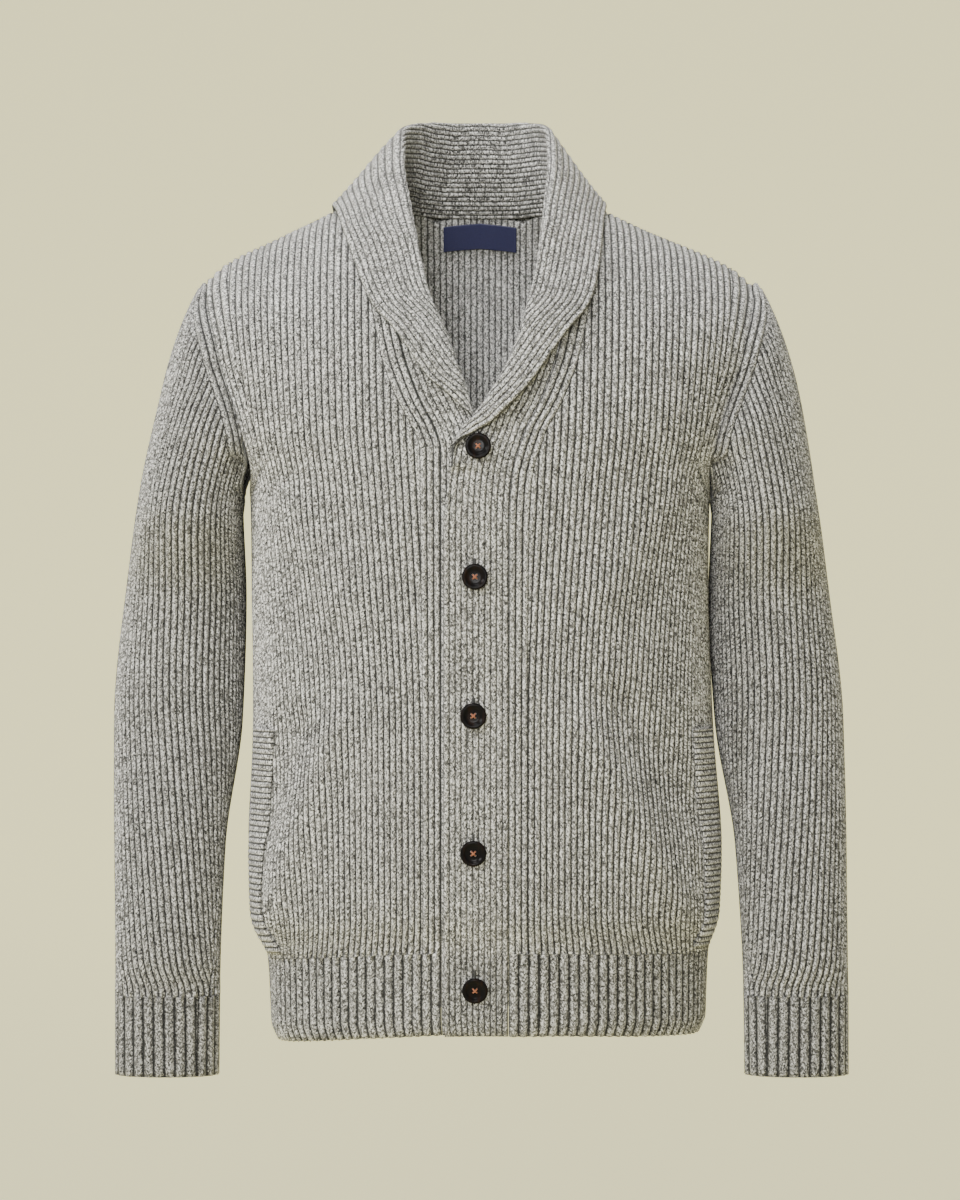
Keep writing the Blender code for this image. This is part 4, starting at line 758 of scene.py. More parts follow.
def collar_sheet(side):
    """Half the collar's inner face as a sheet, with each station's width and stand."""
    levels = COLLAR_LEVELS if side > 0 else COLLAR_LEVELS[COLLAR_LEVELS >= UNDER_BREAK - 1e-6]
    made = [collar_section(station, side) for station in levels]
    points = np.array([section[0] for section in made])
    sheet = Sheet(levels, points)
    normals = sheet.normals * -side
    seam = np.array([section[3] for section in made])
    widths = np.array([section[1] for section in made])
    from_seam = widths[:, None] * np.linspace(0, 1, COLLAR_AROUND)[None, :]
    near = (1 - soft_step(from_seam / 0.006))[..., None]
    normals = unit(normals * (1 - near) + seam[:, None, :] * near)
    normals[-1, :, 0] = 0
    sheet.normals = unit(normals)
    return sheet, levels, widths, np.array([section[2] for section in made])

COLLAR_HALVES = {side: collar_sheet(side) for side in (1, -1)}


def collar(station, side, from_edge):
    """Inner points and normals of the collar at distances from its free edge."""
    sheet, levels, widths, _ = COLLAR_HALVES[side]
    share = 1 - np.asarray(from_edge) / float(np.interp(station, levels, widths))
    return sheet.read((station - levels[0]) / (levels[-1] - levels[0]) * sheet.top, share)


def collar_columns(station, side, step):
    """Columns across the collar: keys, distances from the free edge, and the fold's place.

    The fall's columns are counted from its free edge, the stand's back from the seam.
    """
    _, levels, widths, stands = COLLAR_HALVES[side]
    width = float(np.interp(station, levels, widths))
    fold, first_fold = (float(np.interp(at, levels, widths - stands)) - 1.5 * ROLL
                        for at in (station, FALL_STATION))
    fold = max(fold, 0.0)
    fall_step = step
    if station > FALL_STATION:
        fall_step = fold / (first_fold / step)
    fall = np.arange(math.floor(fold / fall_step + 0.65))
    stand_step = step * (1 - STAND_TIGHTER * float(soft_step((station - 6) / 3)))
    stand = np.arange(math.floor((width - fold) / stand_step + 0.65))[::-1]
    if not len(fall):
        fold = 0.0
    keys = np.concatenate([fall, [FOLD_KEY], SEAM_KEY - stand])
    return keys, np.concatenate([fall * fall_step, [fold], width - stand * stand_step]), len(fall)


def band_top(side):
    """Where a band ends: its seam's level, and its free edge's level and distance along."""
    top, across, _, height = COLLAR[0 if side > 0 else UNDER_BREAK][:4]
    if side < 0:
        across, height = UNDER_FOLD[UNDER_BREAK]
    free_top = level_at(across, height) - 0.04
    return top - 0.02, free_top, side * signed_along(free_top, across, False)


def level_of_height(height):
    """The torso's level at a height below the underarm."""
    heights = [line[0] for line in TORSO[:UNDERARM]]
    levels = np.linspace(0, UNDERARM - 1, 201)
    return float(np.interp(height, smooth(range(UNDERARM), heights, levels), levels))


def ridge(u):
    """How high a rib stands at rib coordinate u, from 0 between two ribs to 1."""
    return (0.5 - 0.5 * np.cos(2 * np.pi * np.asarray(u))) ** 0.75


Stitch = namedtuple("Stitch", "key along number rib course")


class Cloth:
    """Points, faces and knit coordinates of one piece, made row by row."""

    def __init__(self):
        self.points = []
        self.faces = []
        self.knit = []

    def put(self, keys, along, points, ribs, course):
        """Adds points, and gives the chain of their stitches."""
        first = len(self.points)
        self.points.extend(map(tuple, points))
        numbers = range(first, first + len(points))
        return list(map(Stitch, keys, along, numbers, map(float, ribs),
                        [float(course)] * len(points)))

    def face(self, *stitches):
        self.faces.append([stitch.number for stitch in stitches])
        for stitch in stitches:
            self.knit.extend(stitch[3:])

    def sew(self, low, high, by=0):
        """Faces between two chains, going up whichever has the nearer next key.

        With by=1 they go by the distance along the row instead.
        """
        i = j = 0
        while i < len(low) - 1 or j < len(high) - 1:
            last_high = j == len(high) - 1
            if last_high or (i < len(low) - 1 and low[i + 1][by] <= high[j + 1][by] + 1e-7):
                self.face(low[i], low[i + 1], high[j])
                i += 1
            else:
                self.face(low[i], high[j + 1], high[j])
                j += 1

    def join(self, low, high, sides=(True, True)):
        """The cloth between two rows, each a list of outer chains and one of inner chains."""
        for face in (0, 1):
            for a, b in zip(low[face], high[face]):
                self.sew(a, b)
        for wanted, end in zip(sides, (0, -1)):
            if wanted:
                a, b, c, d = (row[face][end][end] for face in (0, 1) for row in (low, high))
                self.face(a, b, d)
                self.face(a, d, c)

    def close(self, row):
        """The edge of the cloth along a row, between its outer and inner points."""
        faces = []
        for chains in row:
            points = [point for chain in chains for point in chain]
            faces.append([p for k, p in enumerate(points)
                          if k == 0 or p.number != points[k - 1].number])
        self.sew(*faces, by=1)

    def join_rows(self, rows):
        """All the cloth between rows, with both end edges closed."""
        self.close(rows[0])
        self.close(rows[-1])
        for low, high in zip(rows, rows[1:]):
            self.join(low, high)


def rib_columns(first, last, pitch, origin, sewn):
    """Distances along a row with their rib coordinates, in three stretches.

    A sewn end starts on a rib's top, so that the seam doesn't open a groove.
    """
    step = pitch / PER_RIB
    edge = np.arange(SHAPED_RIBS * PER_RIB + 1)
    share = edge / edge[-1]
    near, far = (0.5 * end + share * (SHAPED_RIBS - 0.5 * end) for end in sewn)
    left, right = first + step * edge, last - step * edge[::-1]
    start = math.ceil((left[-1] - origin) / step + 0.35)
    stop = math.floor((right[0] - origin) / step - 0.35)
    middle = np.arange(start, stop + 1)
    along = np.concatenate([[left[-1]], origin + step * middle, [right[0]]])
    return [
        (edge, left, near),
        (None, along, (along - origin) / pitch),
        (edge, right, far[::-1]),
    ]


def knit_row(cloth, place, first, last, course, pitch=RIB_PITCH, origin=0.0, spread=1.0,
             inside=PER_RIB, sewn=(False, False)):
    """One row of a ribbed panel. place gives inside points and normals along the row.

    The ribs are pitch apart times spread, and rib 0 is at origin.
    """
    depth = OUT - VALLEY
    pitch = pitch * spread
    chains = []
    for number, (keys, along, ribs) in enumerate(
            rib_columns(first, last, pitch, origin, sewn)):
        points, normals = place(along)
        height = ridge(ribs)
        if keys is None:
            height[[0, -1]] = 0
        points = points + normals * (VALLEY + depth * height)[:, None]
        keys = (along - origin) / spread if keys is None else keys
        if number:
            made = cloth.put(keys[1:], along[1:], points[1:], ribs[1:], course)
            made.insert(0, Stitch(keys[0], along[0], chains[-1][-1].number, float(ribs[0]),
                                  float(course)))
        else:
            made = cloth.put(keys, along, points, ribs, course)
        chains.append(made)
    step = pitch / inside
    inner = np.arange(math.ceil((first - origin) / step + 0.3),
                      math.floor((last - origin) / step - 0.3) + 1)
    inner = np.concatenate([[first], origin + step * inner, [last]])
    ribs = (inner - origin) / pitch + 0.5
    points, normals = place(inner)
    height = np.where((inner > first) & (inner < last), 1 - ridge(ribs), 0.4)
    points = points + normals * (INSIDE_DEPTH * (height - 0.3))[:, None]
    course = course + INSIDE_COURSE
    return chains, [cloth.put((inner - origin) / spread, inner, points, ribs, course)]


def levels_along(place, start, stop, step):
    """Levels from start to stop, each about a step further, and how far along they are."""
    tries = np.linspace(start, stop, 400)
    length = run_along(np.array([place(level) for level in tries]))
    count = max(2, round(length[-1] / step))
    even = np.linspace(0, length[-1], count + 1)
    return np.interp(even, length, tries), even


def stretches(place, *plan):
    """Rows from stretch to stretch: level, course, and the kind of row.

    Each stretch has its first and last level, how many of its rows are left out, the gap
    after it and its kind.
    """
    begin, rows = 0.0, []
    for start, stop, left_out, gap, kind in plan:
        levels, lengths = levels_along(place, start, stop, ROW_STEP)
        rows += [(level, (begin + length) / COURSE, kind)
                 for level, length in list(zip(levels, lengths))[left_out:]]
        begin += lengths[-1] + gap
    return rows


def panel_rows(behind):
    """Every row of a panel, hem first: level, course and rib pitch."""
    return stretches(lambda level: torso(level, 0.11, behind)[0],
                     (0.0, HEM_TOP, 0, TURN, HEM_PITCH), (BODY_START, BACK_NECK, 0, 0, RIB_PITCH),
                     (BACK_NECK, SHOULDER, 1, 0, RIB_PITCH))


def add_object(name, data):
    """A new object in the scene."""
    made = bpy.data.objects.new(name, data)
    bpy.context.scene.collection.objects.link(made)
    return made


def piece(cloth, name, finish, slot, *nodes):
    """The cloth as a smooth-shaded object that rides on the body in its nodes' place."""
    mesh = bpy.data.meshes.new(name)
    mesh.from_pydata(cloth.points, [], cloth.faces)
    knit = mesh.uv_layers.new(name="knit")
    knit.data.foreach_set("uv", cloth.knit)
    shape = bmesh.new()
    shape.from_mesh(mesh)
    unused = [point for point in shape.verts if not point.link_faces]
    bmesh.ops.delete(shape, geom=unused, context="VERTS")
    bmesh.ops.recalc_face_normals(shape, faces=shape.faces)
    shape.to_mesh(mesh)
    shape.free()
    mesh.shade_smooth()
    mesh.materials.append(finish)
    made = add_object(name, mesh)
    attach(made, "root")
    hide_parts(*nodes)
    return made


def cloth_end(level, behind):
    """A panel's outer edge, a little over the armhole seam."""
    return panel_end(level, behind) + OVER_SEAM * float(soft_step((level - UNDERARM) / 0.5))


def knit_back():
    """The back: whole rows up to the neck, then one stretch at each shoulder."""
    cloth = Cloth()
    rows, tops = [], []
    for level, course, pitch in panel_rows(True):
        if level > BACK_NECK + 1e-6:
            tops.append((level, course))
            continue
        end = cloth_end(level, True)
        rows.append(knit_row(cloth, lambda q, t=level: torso(t, q, True), -end, end, course,
                             pitch, sewn=(True, True)))
    cloth.close(rows[0])
    for low, high in zip(rows, rows[1:]):
        cloth.join(low, high)
    neck_row, neck = rows[-1], table_at(BACK_EDGE, BACK_NECK)
    outer, inner = neck_row[0][1], neck_row[1][0]
    step = RIB_PITCH / PER_RIB
    neck = round(neck / step) * step
    cloth.sew(*([p for p in chain if abs(p.along) < neck + 1e-5] for chain in (outer, inner)),
              by=1)
    shaped = neck + SHAPED_RIBS * RIB_PITCH
    for side in (-1, 1):
        def mine(chain, low, high):
            return [p for p in chain if low - 1e-5 < side * p.along < high + 1e-5]
        near = [p._replace(key=k) for k, p in enumerate(mine(outer, neck, shaped))]
        far = mine(outer, shaped, 1.0)
        end_chain = neck_row[0][2] if side > 0 else neck_row[0][0]
        chains = [near, far, end_chain] if side > 0 else [end_chain, far, near]
        low = (chains, [mine(inner, neck, 1.0)])
        for level, course in tops:
            start = along_at(level, table_at(BACK_EDGE, level), True)
            end = cloth_end(level, True)
            first, last = (start, end) if side > 0 else (-end, -start)
            high = knit_row(cloth, lambda q, t=level: torso(t, q, True), first, last, course,
                            sewn=(side < 0, side > 0))
            cloth.join(low, high)
            low = high
        cloth.close(low)
    return cloth


def knit_front(side):
    """One front, from its edge at the strip out to the side seam and armhole."""
    cloth = Cloth()
    rows = []
    origin = front_edge(0.0)
    for level, course, pitch in panel_rows(False):
        start = front_edge(level) + GAP / 2
        if side < 0:
            start = max(start, UNDER_EDGE)
        spread = 1.0 if pitch == HEM_PITCH else table_at(SPREAD, level)
        rows.append(knit_row(cloth, front_place(level, side), start, cloth_end(level, False),
                             course, pitch, origin + table_at(DRIFT, level), spread,
                             sewn=(False, True)))
    cloth.join_rows(rows)
    return cloth


def knit_sleeve(side):
    """One sleeve: closed rings up to the underarm, then the cap's open rows."""
    cloth = Cloth()
    low = None
    plan = stretches(lambda level: sleeve(level, 0.0)[0],
                     (0.0, 1.0, 0, TURN, (CUFF_PITCH, True)),
                     (ARM_START, UNDERARM, 0, CAP_TURN, (RIB_PITCH, True)),
                     (CAP_START, CAP_STOP, 0, 0, (RIB_PITCH, False)))
    for level, course, (pitch, ring_row) in plan:
        place, ahead, behind = sleeve_place(level, side)
        row = knit_row(cloth, place, -ahead, behind, course, pitch, inside=2,
                       sewn=(not ring_row, not ring_row))
        if ring_row:
            for start, end in ((row[0][0], row[0][2]), (row[1][0], row[1][0])):
                end[-1] = end[-1]._replace(number=start[0].number)
        if low is None:
            cloth.close(row)
        else:
            cloth.join(low, row, (not ring_row, not ring_row))
        low = row
    cloth.close(low)
    return cloth


def strip_row(cloth, columns, course, place, wall, out_depth, in_depth):
    """One row across band or collar. place takes distances from the free edge."""
    keys, from_edge, fold = columns
    step = STRIP_PITCH / PER_RIB
    fall = keys[:fold] / PER_RIB
    stand = (SEAM_KEY - keys[fold + 1:]) / PER_RIB
    ribs = np.concatenate([fall, [0], stand])
    height = ridge(ribs)
    points, normals = place(from_edge)
    faces = []
    rolled = SELVEDGE * np.exp(-(from_edge / SELVEDGE_REACH) ** 2)
    for moved in (wall + out_depth * height + rolled, -in_depth * height):
        made = cloth.put(keys, from_edge, points + normals * moved[:, None], ribs, course)
        ends = []
        for last, near in ((made[fold - 1], fold), (made[fold + 1], -1)):
            gap = abs(from_edge[fold] - last.along) / step / PER_RIB if near else 0.0
            ends.append(made[fold]._replace(rib=last.rib + gap))
        faces.append([made[:fold] + [ends[0]], [ends[1]] + made[fold + 1:]])
    return faces


def band_columns(width):
    """Columns across the band, counted back from its seam: keys, distances, and no fall."""
    step = STRIP_PITCH / PER_RIB
    index = np.arange(math.floor(width / step + 0.65))[::-1]
    return np.append(FOLD_KEY, SEAM_KEY - index), np.append(0.0, width - index * step), 0


def band_rows(cloth, side):
    """The band's rows from the hem up to where the collar starts."""
    free = BAND_FREE if side > 0 else BAND_UNDER_FREE
    top, free_top, free_along = band_top(side)

    def edges(level):
        turned = float(soft_step((level - 5.6) / (top - 5.6)))
        seam = (level, side * (seam_along(level, side) - GAP))
        return seam, (level + turned * (free_top - top), free + turned * (free_along - free))

    levels, lengths = levels_along(lambda t: torso(t, 0.0, False)[0], 0.0, top, ROW_STEP)
    rows = []
    for level, length in zip(levels, lengths):
        seam, edge = edges(level)
        width = abs(edge[1] - seam[1])

        def place(from_edge):
            share = from_edge / width
            at = edge[0] + (seam[0] - edge[0]) * share
            along = edge[1] + (seam[1] - edge[1]) * share
            points, normals = torso(at, along, False)
            return points + normals * (LAP_OVER if side > 0 else -LAP_UNDER), normals

        rows.append(strip_row(cloth, band_columns(width), length / COURSE, place,
                              BAND_WALL - 0.0003, BAND_RIB + 0.0003, 0.0002))
    return rows, lengths[-1]


def collar_rows(cloth, side, begin):
    """The collar's rows on one side, from its break point to the middle of the back."""
    stations = np.linspace(0, BACK_STATION, 321)
    first = 0.04 if side > 0 else UNDER_BREAK + 0.04
    length = run_along(np.array([fold_at(station, side) for station in stations]))
    start = float(np.interp(first, stations, length))
    count = round((length[-1] - start) / (ROW_STEP * 0.85))
    even = np.linspace(start, length[-1], count + 1)
    rows = []
    for station, run in zip(np.interp(even, length, stations), even):
        columns = collar_columns(station, side, STRIP_PITCH / PER_RIB)
        rolled = float(soft_step((station - first) / 2.5))
        rows.append(strip_row(cloth, columns, (begin + run - start) / COURSE,
                              lambda from_edge, s=station: collar(s, side, from_edge),
                              COLLAR_WALL - 0.0006, 0.0005, 0.0002 + 0.0008 * rolled))
    return rows, begin + even[-1] - start


def knit_strip():
    """Both bands and the collar in one run, from the left hem up and round to the right."""
    cloth = Cloth()
    rows, length = band_rows(cloth, 1)
    more, length = collar_rows(cloth, 1, length)
    rows += more
    under, length = band_rows(cloth, -1)
    more, length = collar_rows(cloth, -1, length)
    rows += (under + more)[::-1][1:]
    cloth.join_rows(rows)
    return cloth


def knit_welt(side):
    """A pocket welt on the front panel, its ribs running across it."""
    cloth = Cloth()
    rows = []
    step = WELT_PITCH / PER_RIB
    count = round((WELT_TOP - WELT_BOTTOM) / step)
    heights = np.linspace(WELT_BOTTOM, WELT_TOP, count + 1)
    across = np.linspace(0, 1, WELT_COLUMNS)
    for number, height in enumerate(heights):
        level = level_of_height(height)
        risen = (height - WELT_BOTTOM) / (WELT_TOP - WELT_BOTTOM)
        inner = WELT_INNER_BOTTOM + (WELT_INNER_TOP - WELT_INNER_BOTTOM) * risen
        first = float(quarter(level, False)) - inner
        along = first + (inner - WELT_OUTER) * across
        points, normals = front_place(level, side)(along)
        crown = np.sin(np.pi * across) ** 0.35
        raised = OUT + LAID_GAP + WELT_WALL + WELT_DEPTH * float(ridge(number / PER_RIB)) * crown
        raised = raised - WELT_EDGE * (1 - crown)
        outer = points + normals * raised[:, None]
        under = points + normals * (OUT + 0.0002)
        course = along / COURSE
        faces = [[cloth.put([q], [q], points[k:k + 1], [number / PER_RIB], course[k])[0]
                  for k, q in enumerate(across)] for points in (outer, under)]
        rows.append([[face] for face in faces])
    cloth.join_rows(rows)
    return cloth


def weave_label():
    """The bare neck label, just inside the back."""
    cloth = Cloth()
    rows = []
    along = np.linspace(-LABEL_HALF_WIDTH, LABEL_HALF_WIDTH, 63)
    low, high = BACK_NECK - 1, BACK_NECK
    below, above = torso(low, along, True), torso(high, along, True)
    for share in np.linspace(LABEL_LEVELS[0] - low, LABEL_LEVELS[1] - low, 27):
        points = below[0] * (1 - share) + above[0] * share
        normals = unit(below[1] * (1 - share) + above[1] * share)
        course = share * 26
        near, far = points - normals * LABEL_GAP, points - normals * (LABEL_GAP + LABEL_THICK)
        rows.append(([cloth.put(along, along, near, along / 0.001, course)],
                     [cloth.put(along, along, far, along / 0.001, course)]))
    cloth.join_rows(rows)
    return cloth


class Nodes:
    """Short calls for a material's nodes."""

    def __init__(self, name):
        self.material = bpy.data.materials.new(name)
        self.material.use_nodes = True
        self.tree = self.material.node_tree
        self.shader = self.tree.nodes["Principled BSDF"]

    def add(self, kind, links=(), **values):
        node = self.tree.nodes.new(kind)
        for name, value in values.items():
            setattr(node, name, value)
        for socket, source in dict(links).items():
            self.put(node.inputs[socket], source)
        return node

    def put(self, socket, source):
        """A socket's value, or the link that feeds it."""
        if isinstance(source, bpy.types.NodeSocket):
            self.tree.links.new(source, socket)
        else:
            socket.default_value = source

    def shade(self, *sockets):
        """The shader's own sockets, as pairs of name and value."""
        for name, source in sockets:
            self.put(self.shader.inputs[name], source)

    def math(self, operation, a, b=0.0, c=0.0):
        return self.add("ShaderNodeMath", {0: a, 1: b, 2: c}, operation=operation).outputs[0]

    def times(self, a, b):
        return self.math("MULTIPLY", a, b)

    def plus(self, a, b):
        return self.math("ADD", a, b)

    def minus(self, a, b):
        return self.math("SUBTRACT", a, b)

    def mix(self, factor, a, b, blend="MIX"):
        node = self.add("ShaderNodeMix", data_type="RGBA", blend_type=blend)
        for number, source in ((0, factor), (6, a), (7, b)):
            self.put(node.inputs[number], source)
        return node.outputs[2]

    def join(self, x, y, z=0.0):
        return self.add("ShaderNodeCombineXYZ", {0: x, 1: y, 2: z}).outputs[0]

    def noise(self, place, scale, detail=2.0, rough=0.5):
        return self.add("ShaderNodeTexNoise", {"Vector": place, "Scale": scale, "Detail": detail,
                                               "Roughness": rough}).outputs["Fac"]

    def ramp(self, source, stops):
        """Greys or colours at places from 0 to 1."""
        node = self.add("ShaderNodeValToRGB", {0: source})
        band = node.color_ramp
        while len(band.elements) < len(stops):
            band.elements.new(0.5)
        for element, (place, colour) in zip(band.elements, stops):
            element.position = place
            element.color = (*colour, 1.0)
        return node.outputs[0]


def wool(name, colours, depth=0.0010, slope=0.55, tone=1.0, groove=2.5):
    """Marled wool: twisted dark and pale strands in the stitches of a rib."""
    n = Nodes(name)
    knit = n.add("ShaderNodeUVMap", uv_map="knit").outputs[0]
    split = n.add("ShaderNodeSeparateXYZ", {0: knit})
    u, v = split.outputs[0], split.outputs[1]
    place = n.add("ShaderNodeTexCoord").outputs["Object"]
    wander = n.times(n.minus(n.noise(place, 420.0, 1.0), 0.5), 0.20)
    side = n.minus(n.math("FRACT", n.plus(u, wander)), 0.5)
    off = n.times(n.math("ABSOLUTE", side), 2.0)  # 0 on the rib, 1 between two
    lean = n.minus(n.plus(v, wander), n.times(off, slope))
    # A stitch is one loop: its two legs rise from the rib's middle to its sides
    loop = n.math("SINE", n.times(n.math("FRACT", lean), math.pi))
    body = n.minus(1.0, n.math("POWER", off, 2.5))
    crest = n.math("MAXIMUM", n.minus(1.0, n.times(off, 7.0)), 0.0)
    height = n.times(n.minus(body, n.times(crest, 0.35)), n.plus(0.6, n.times(loop, 0.4)))
    # Fibres: cells that lean with the legs, each dark, middle or pale
    row = n.math("FLOOR", n.plus(u, wander))
    cell = n.add("ShaderNodeMapping", {"Vector": place, "Scale": (1120, 1120, 820)}).outputs[0]
    slant = n.join(0.0, n.times(row, 7.3), n.times(off, -1.3))
    cell = n.add("ShaderNodeVectorMath", {0: cell, 1: slant}, operation="ADD").outputs[0]
    flecks = n.add("ShaderNodeTexVoronoi", {"Vector": cell, "Scale": 1.0}).outputs["Color"]
    fleck = n.add("ShaderNodeSeparateXYZ", {0: flecks}).outputs[0]
    strand = n.noise(cell, 1.3, 1.0, 0.5)
    grain = n.plus(n.times(fleck, 0.62), n.times(strand, 0.38))
    dark, middle, pale = (tuple(c * tone for c in colour) for colour in colours)
    colour = n.ramp(grain, ((0.22, dark), (0.50, middle), (0.80, pale)))
    shade = n.ramp(n.noise(place, 38.0, 2.0),
                   ((0.3, (0.90, 0.90, 0.90)), (0.7, (1.06, 1.06, 1.06))))
    colour = n.mix(1.0, colour, shade, "MULTIPLY")
    # Painted shade: darker between two ribs and between two stitches, and on the hem and cuffs
    groove_shade = n.math("MAXIMUM", n.times(n.minus(off, 0.52), groove), 0.0)
    gap = n.times(n.minus(1.0, loop), 0.06)
    painted_shade = n.minus(1.0, n.math("MINIMUM", n.plus(groove_shade, gap), 0.94))
    colour = n.mix(1.0, colour, n.join(painted_shade, painted_shade, painted_shade), "MULTIPLY")
    # Painted shade: the hem and cuffs are drawn darker, standing for the dimmer light low on the
    # cardigan
    hem_cuff_shade = n.math("LESS_THAN", v, RIB_COURSES)
    colour = n.mix(n.times(hem_cuff_shade, 0.24), colour, (0.0, 0.0, 0.0, 1.0))
    # Painted light: the inside is drawn paler, as if more light reached it
    inside_light = n.add("ShaderNodeGamma", {0: colour, 1: 0.66}).outputs[0]
    colour = n.mix(n.math("GREATER_THAN", v, INSIDE_COURSE / 2), colour, inside_light)
    n.shade(("Base Color", colour))
    relief = n.plus(height, n.times(fleck, 0.15))
    bump = n.add("ShaderNodeBump", {"Height": relief, "Distance": depth, "Strength": 0.9})
    n.shade(("Normal", bump.outputs[0]), ("Roughness", 0.92), ("Specular IOR Level", 0.18),
            ("Sheen Weight", 0.12), ("Sheen Roughness", 0.6))
    return n.material


def horn(colour):
    """Polished dark horn with faint brown streaks."""
    n = Nodes("horn")
    place = n.add("ShaderNodeTexCoord").outputs["Object"]
    grain = n.add("ShaderNodeMapping", {"Vector": place, "Scale": (300, 300, 60)}).outputs[0]
    streak = n.noise(grain, 1.0, 4.0)
    base = tuple(colour)
    warm = (base[0] * 2.6, base[1] * 1.4, base[2] * 0.9)
    n.shade(("Base Color", n.ramp(streak, ((0.50, base), (0.80, warm)))))
    fine = n.noise(place, 2500.0, 2.0)
    bump = n.add("ShaderNodeBump", {"Height": fine, "Distance": 0.00001, "Strength": 0.3})
    n.shade(("Normal", bump.outputs[0]))
    rough = n.ramp(streak, ((0.3, (0.17,) * 3), (0.8, (0.24,) * 3)))
    n.shade(("Roughness", rough), ("Specular IOR Level", 0.035))
    return n.material


def woven(name, colour, scale, depth, sheen):
    """A fine plain weave or a twisted thread."""
    n = Nodes(name)
    knit = n.add("ShaderNodeTexCoord").outputs["Object"]
    grid = n.add("ShaderNodeTexWave", {"Vector": knit, "Scale": scale, "Distortion": 0.6},
                 bands_direction="DIAGONAL").outputs["Fac"]
    grain = n.noise(knit, scale * 2.4, 2.0)
    base = tuple(colour)
    lit = tuple(c * 1.5 + 0.004 for c in base)
    n.shade(("Base Color", n.ramp(grain, ((0.3, base), (0.7, lit)))))
    bump = n.add("ShaderNodeBump", {"Height": grid, "Distance": depth, "Strength": 0.6})
    n.shade(("Normal", bump.outputs[0]), ("Roughness", 0.55), ("Sheen Weight", sheen))
    return n.material


def button_seat(number):
    """A button's middle on the band, and the way it faces."""
    across, height, lifted = BUTTON_PLACES[number]
    level = level_at(across, height)
    along = signed_along(level, across, False)
    if level < BAND_LEVELS[-1]:
        k = int(np.searchsorted(BAND_LEVELS, level)) - 1
        low, high = (torso(BAND_LEVELS[n], along, False) for n in (k, k + 1))
        share = (height - low[0][2]) / (high[0][2] - low[0][2])
        point, normal = (a * (1 - share) + b * share for a, b in zip(low, high))
    else:
        point, normal = torso(level, along, False)
    return Vector(point + normal * (LAP_OVER + lifted)), Vector(normal).normalized()


def turn_button(number, finish):
    """A dished button with a rounded rim and four sewing holes."""
    name = f"horn_button_{number + 1}"
    mesh = bpy.data.meshes.new(name)
    mesh.from_pydata([(r, 0, z) for r, z in BUTTON_PROFILE],
                     [(k, k + 1) for k in range(len(BUTTON_PROFILE) - 1)], [])
    button = add_object(name, mesh)
    turned = button.modifiers.new("turned", "SCREW")
    turned.steps = turned.render_steps = BUTTON_SIDES
    turned.use_merge_vertices = True
    turned.merge_threshold = 0.00003
    cutters = []
    for x, y in ((1, 1), (-1, 1), (-1, -1), (1, -1)):
        shape = bmesh.new()
        bmesh.ops.create_cone(shape, cap_ends=True, segments=20, radius1=HOLE_RADIUS,
                              radius2=HOLE_RADIUS, depth=0.02)
        bmesh.ops.translate(shape, verts=shape.verts, vec=(x * HOLE_SPREAD, y * HOLE_SPREAD, 0))
        hole_mesh = bpy.data.meshes.new("hole")
        shape.to_mesh(hole_mesh)
        shape.free()
        hole = add_object("hole", hole_mesh)
        cut = button.modifiers.new("hole", "BOOLEAN")
        cut.operation, cut.solver, cut.object = "DIFFERENCE", "EXACT", hole
        cutters.append(hole)
    bpy.context.view_layer.update()
    point, normal = button_seat(number)
    turn = normal.to_track_quat("Z", "Y").to_matrix().to_4x4()
    cut_mesh = bpy.data.meshes.new_from_object(
        button.evaluated_get(bpy.context.evaluated_depsgraph_get()))
    button.modifiers.clear()
    button.data = cut_mesh
    for hole in cutters:
        bpy.data.objects.remove(hole)
    cut_mesh.transform(turn)
    cut_mesh.transform(Matrix.Translation(point))
    cut_mesh.shade_smooth()
    cut_mesh.set_sharp_from_angle(angle=math.radians(38))
    cut_mesh.materials.clear()
    cut_mesh.materials.append(finish)
    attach(button, "root")
    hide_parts(f"button_{number + 1}")


def sew_thread(number, finish):
    """The crossed thread through a button's holes, down to the band."""
    point, normal = button_seat(number)
    turn = normal.to_track_quat("Z", "Y")
    curve = bpy.data.curves.new(f"thread_{number + 1}", "CURVE")
    curve.dimensions = "3D"
    curve.bevel_depth = THREAD_RADIUS
    curve.bevel_resolution = 2
    face = BUTTON_FACE + THREAD_RADIUS * 0.7
    s = HOLE_SPREAD
    for pair, lift in (((-1, -1, 1, 1), 0.0), ((-1, 1, 1, -1), THREAD_RADIUS)):
        for shift in (-0.45, 0.45):
            a, b = Vector((pair[0] * s, pair[1] * s, 0)), Vector((pair[2] * s, pair[3] * s, 0))
            aside = (b - a).cross(Vector((0, 0, 1))).normalized() * THREAD_RADIUS * 1.5 * shift
            stops = [(a, 0.0002), (a, face - 0.0003), (a.lerp(b, 0.18), face + lift * 0.6),
                     (a.lerp(b, 0.5), face + 0.0002 + lift * 1.4),
                     (a.lerp(b, 0.82), face + lift * 0.6), (b, face - 0.0003), (b, 0.0002)]
            spline = curve.splines.new("POLY")
            spline.points.add(len(stops) - 1)
            for target, (flat, height) in zip(spline.points, stops):
                place = point + turn @ (flat + aside + Vector((0, 0, height)))
                target.co = (*place, 1)
    curve.materials.append(finish)
    made = add_object(curve.name, curve)
    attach(made, "root")


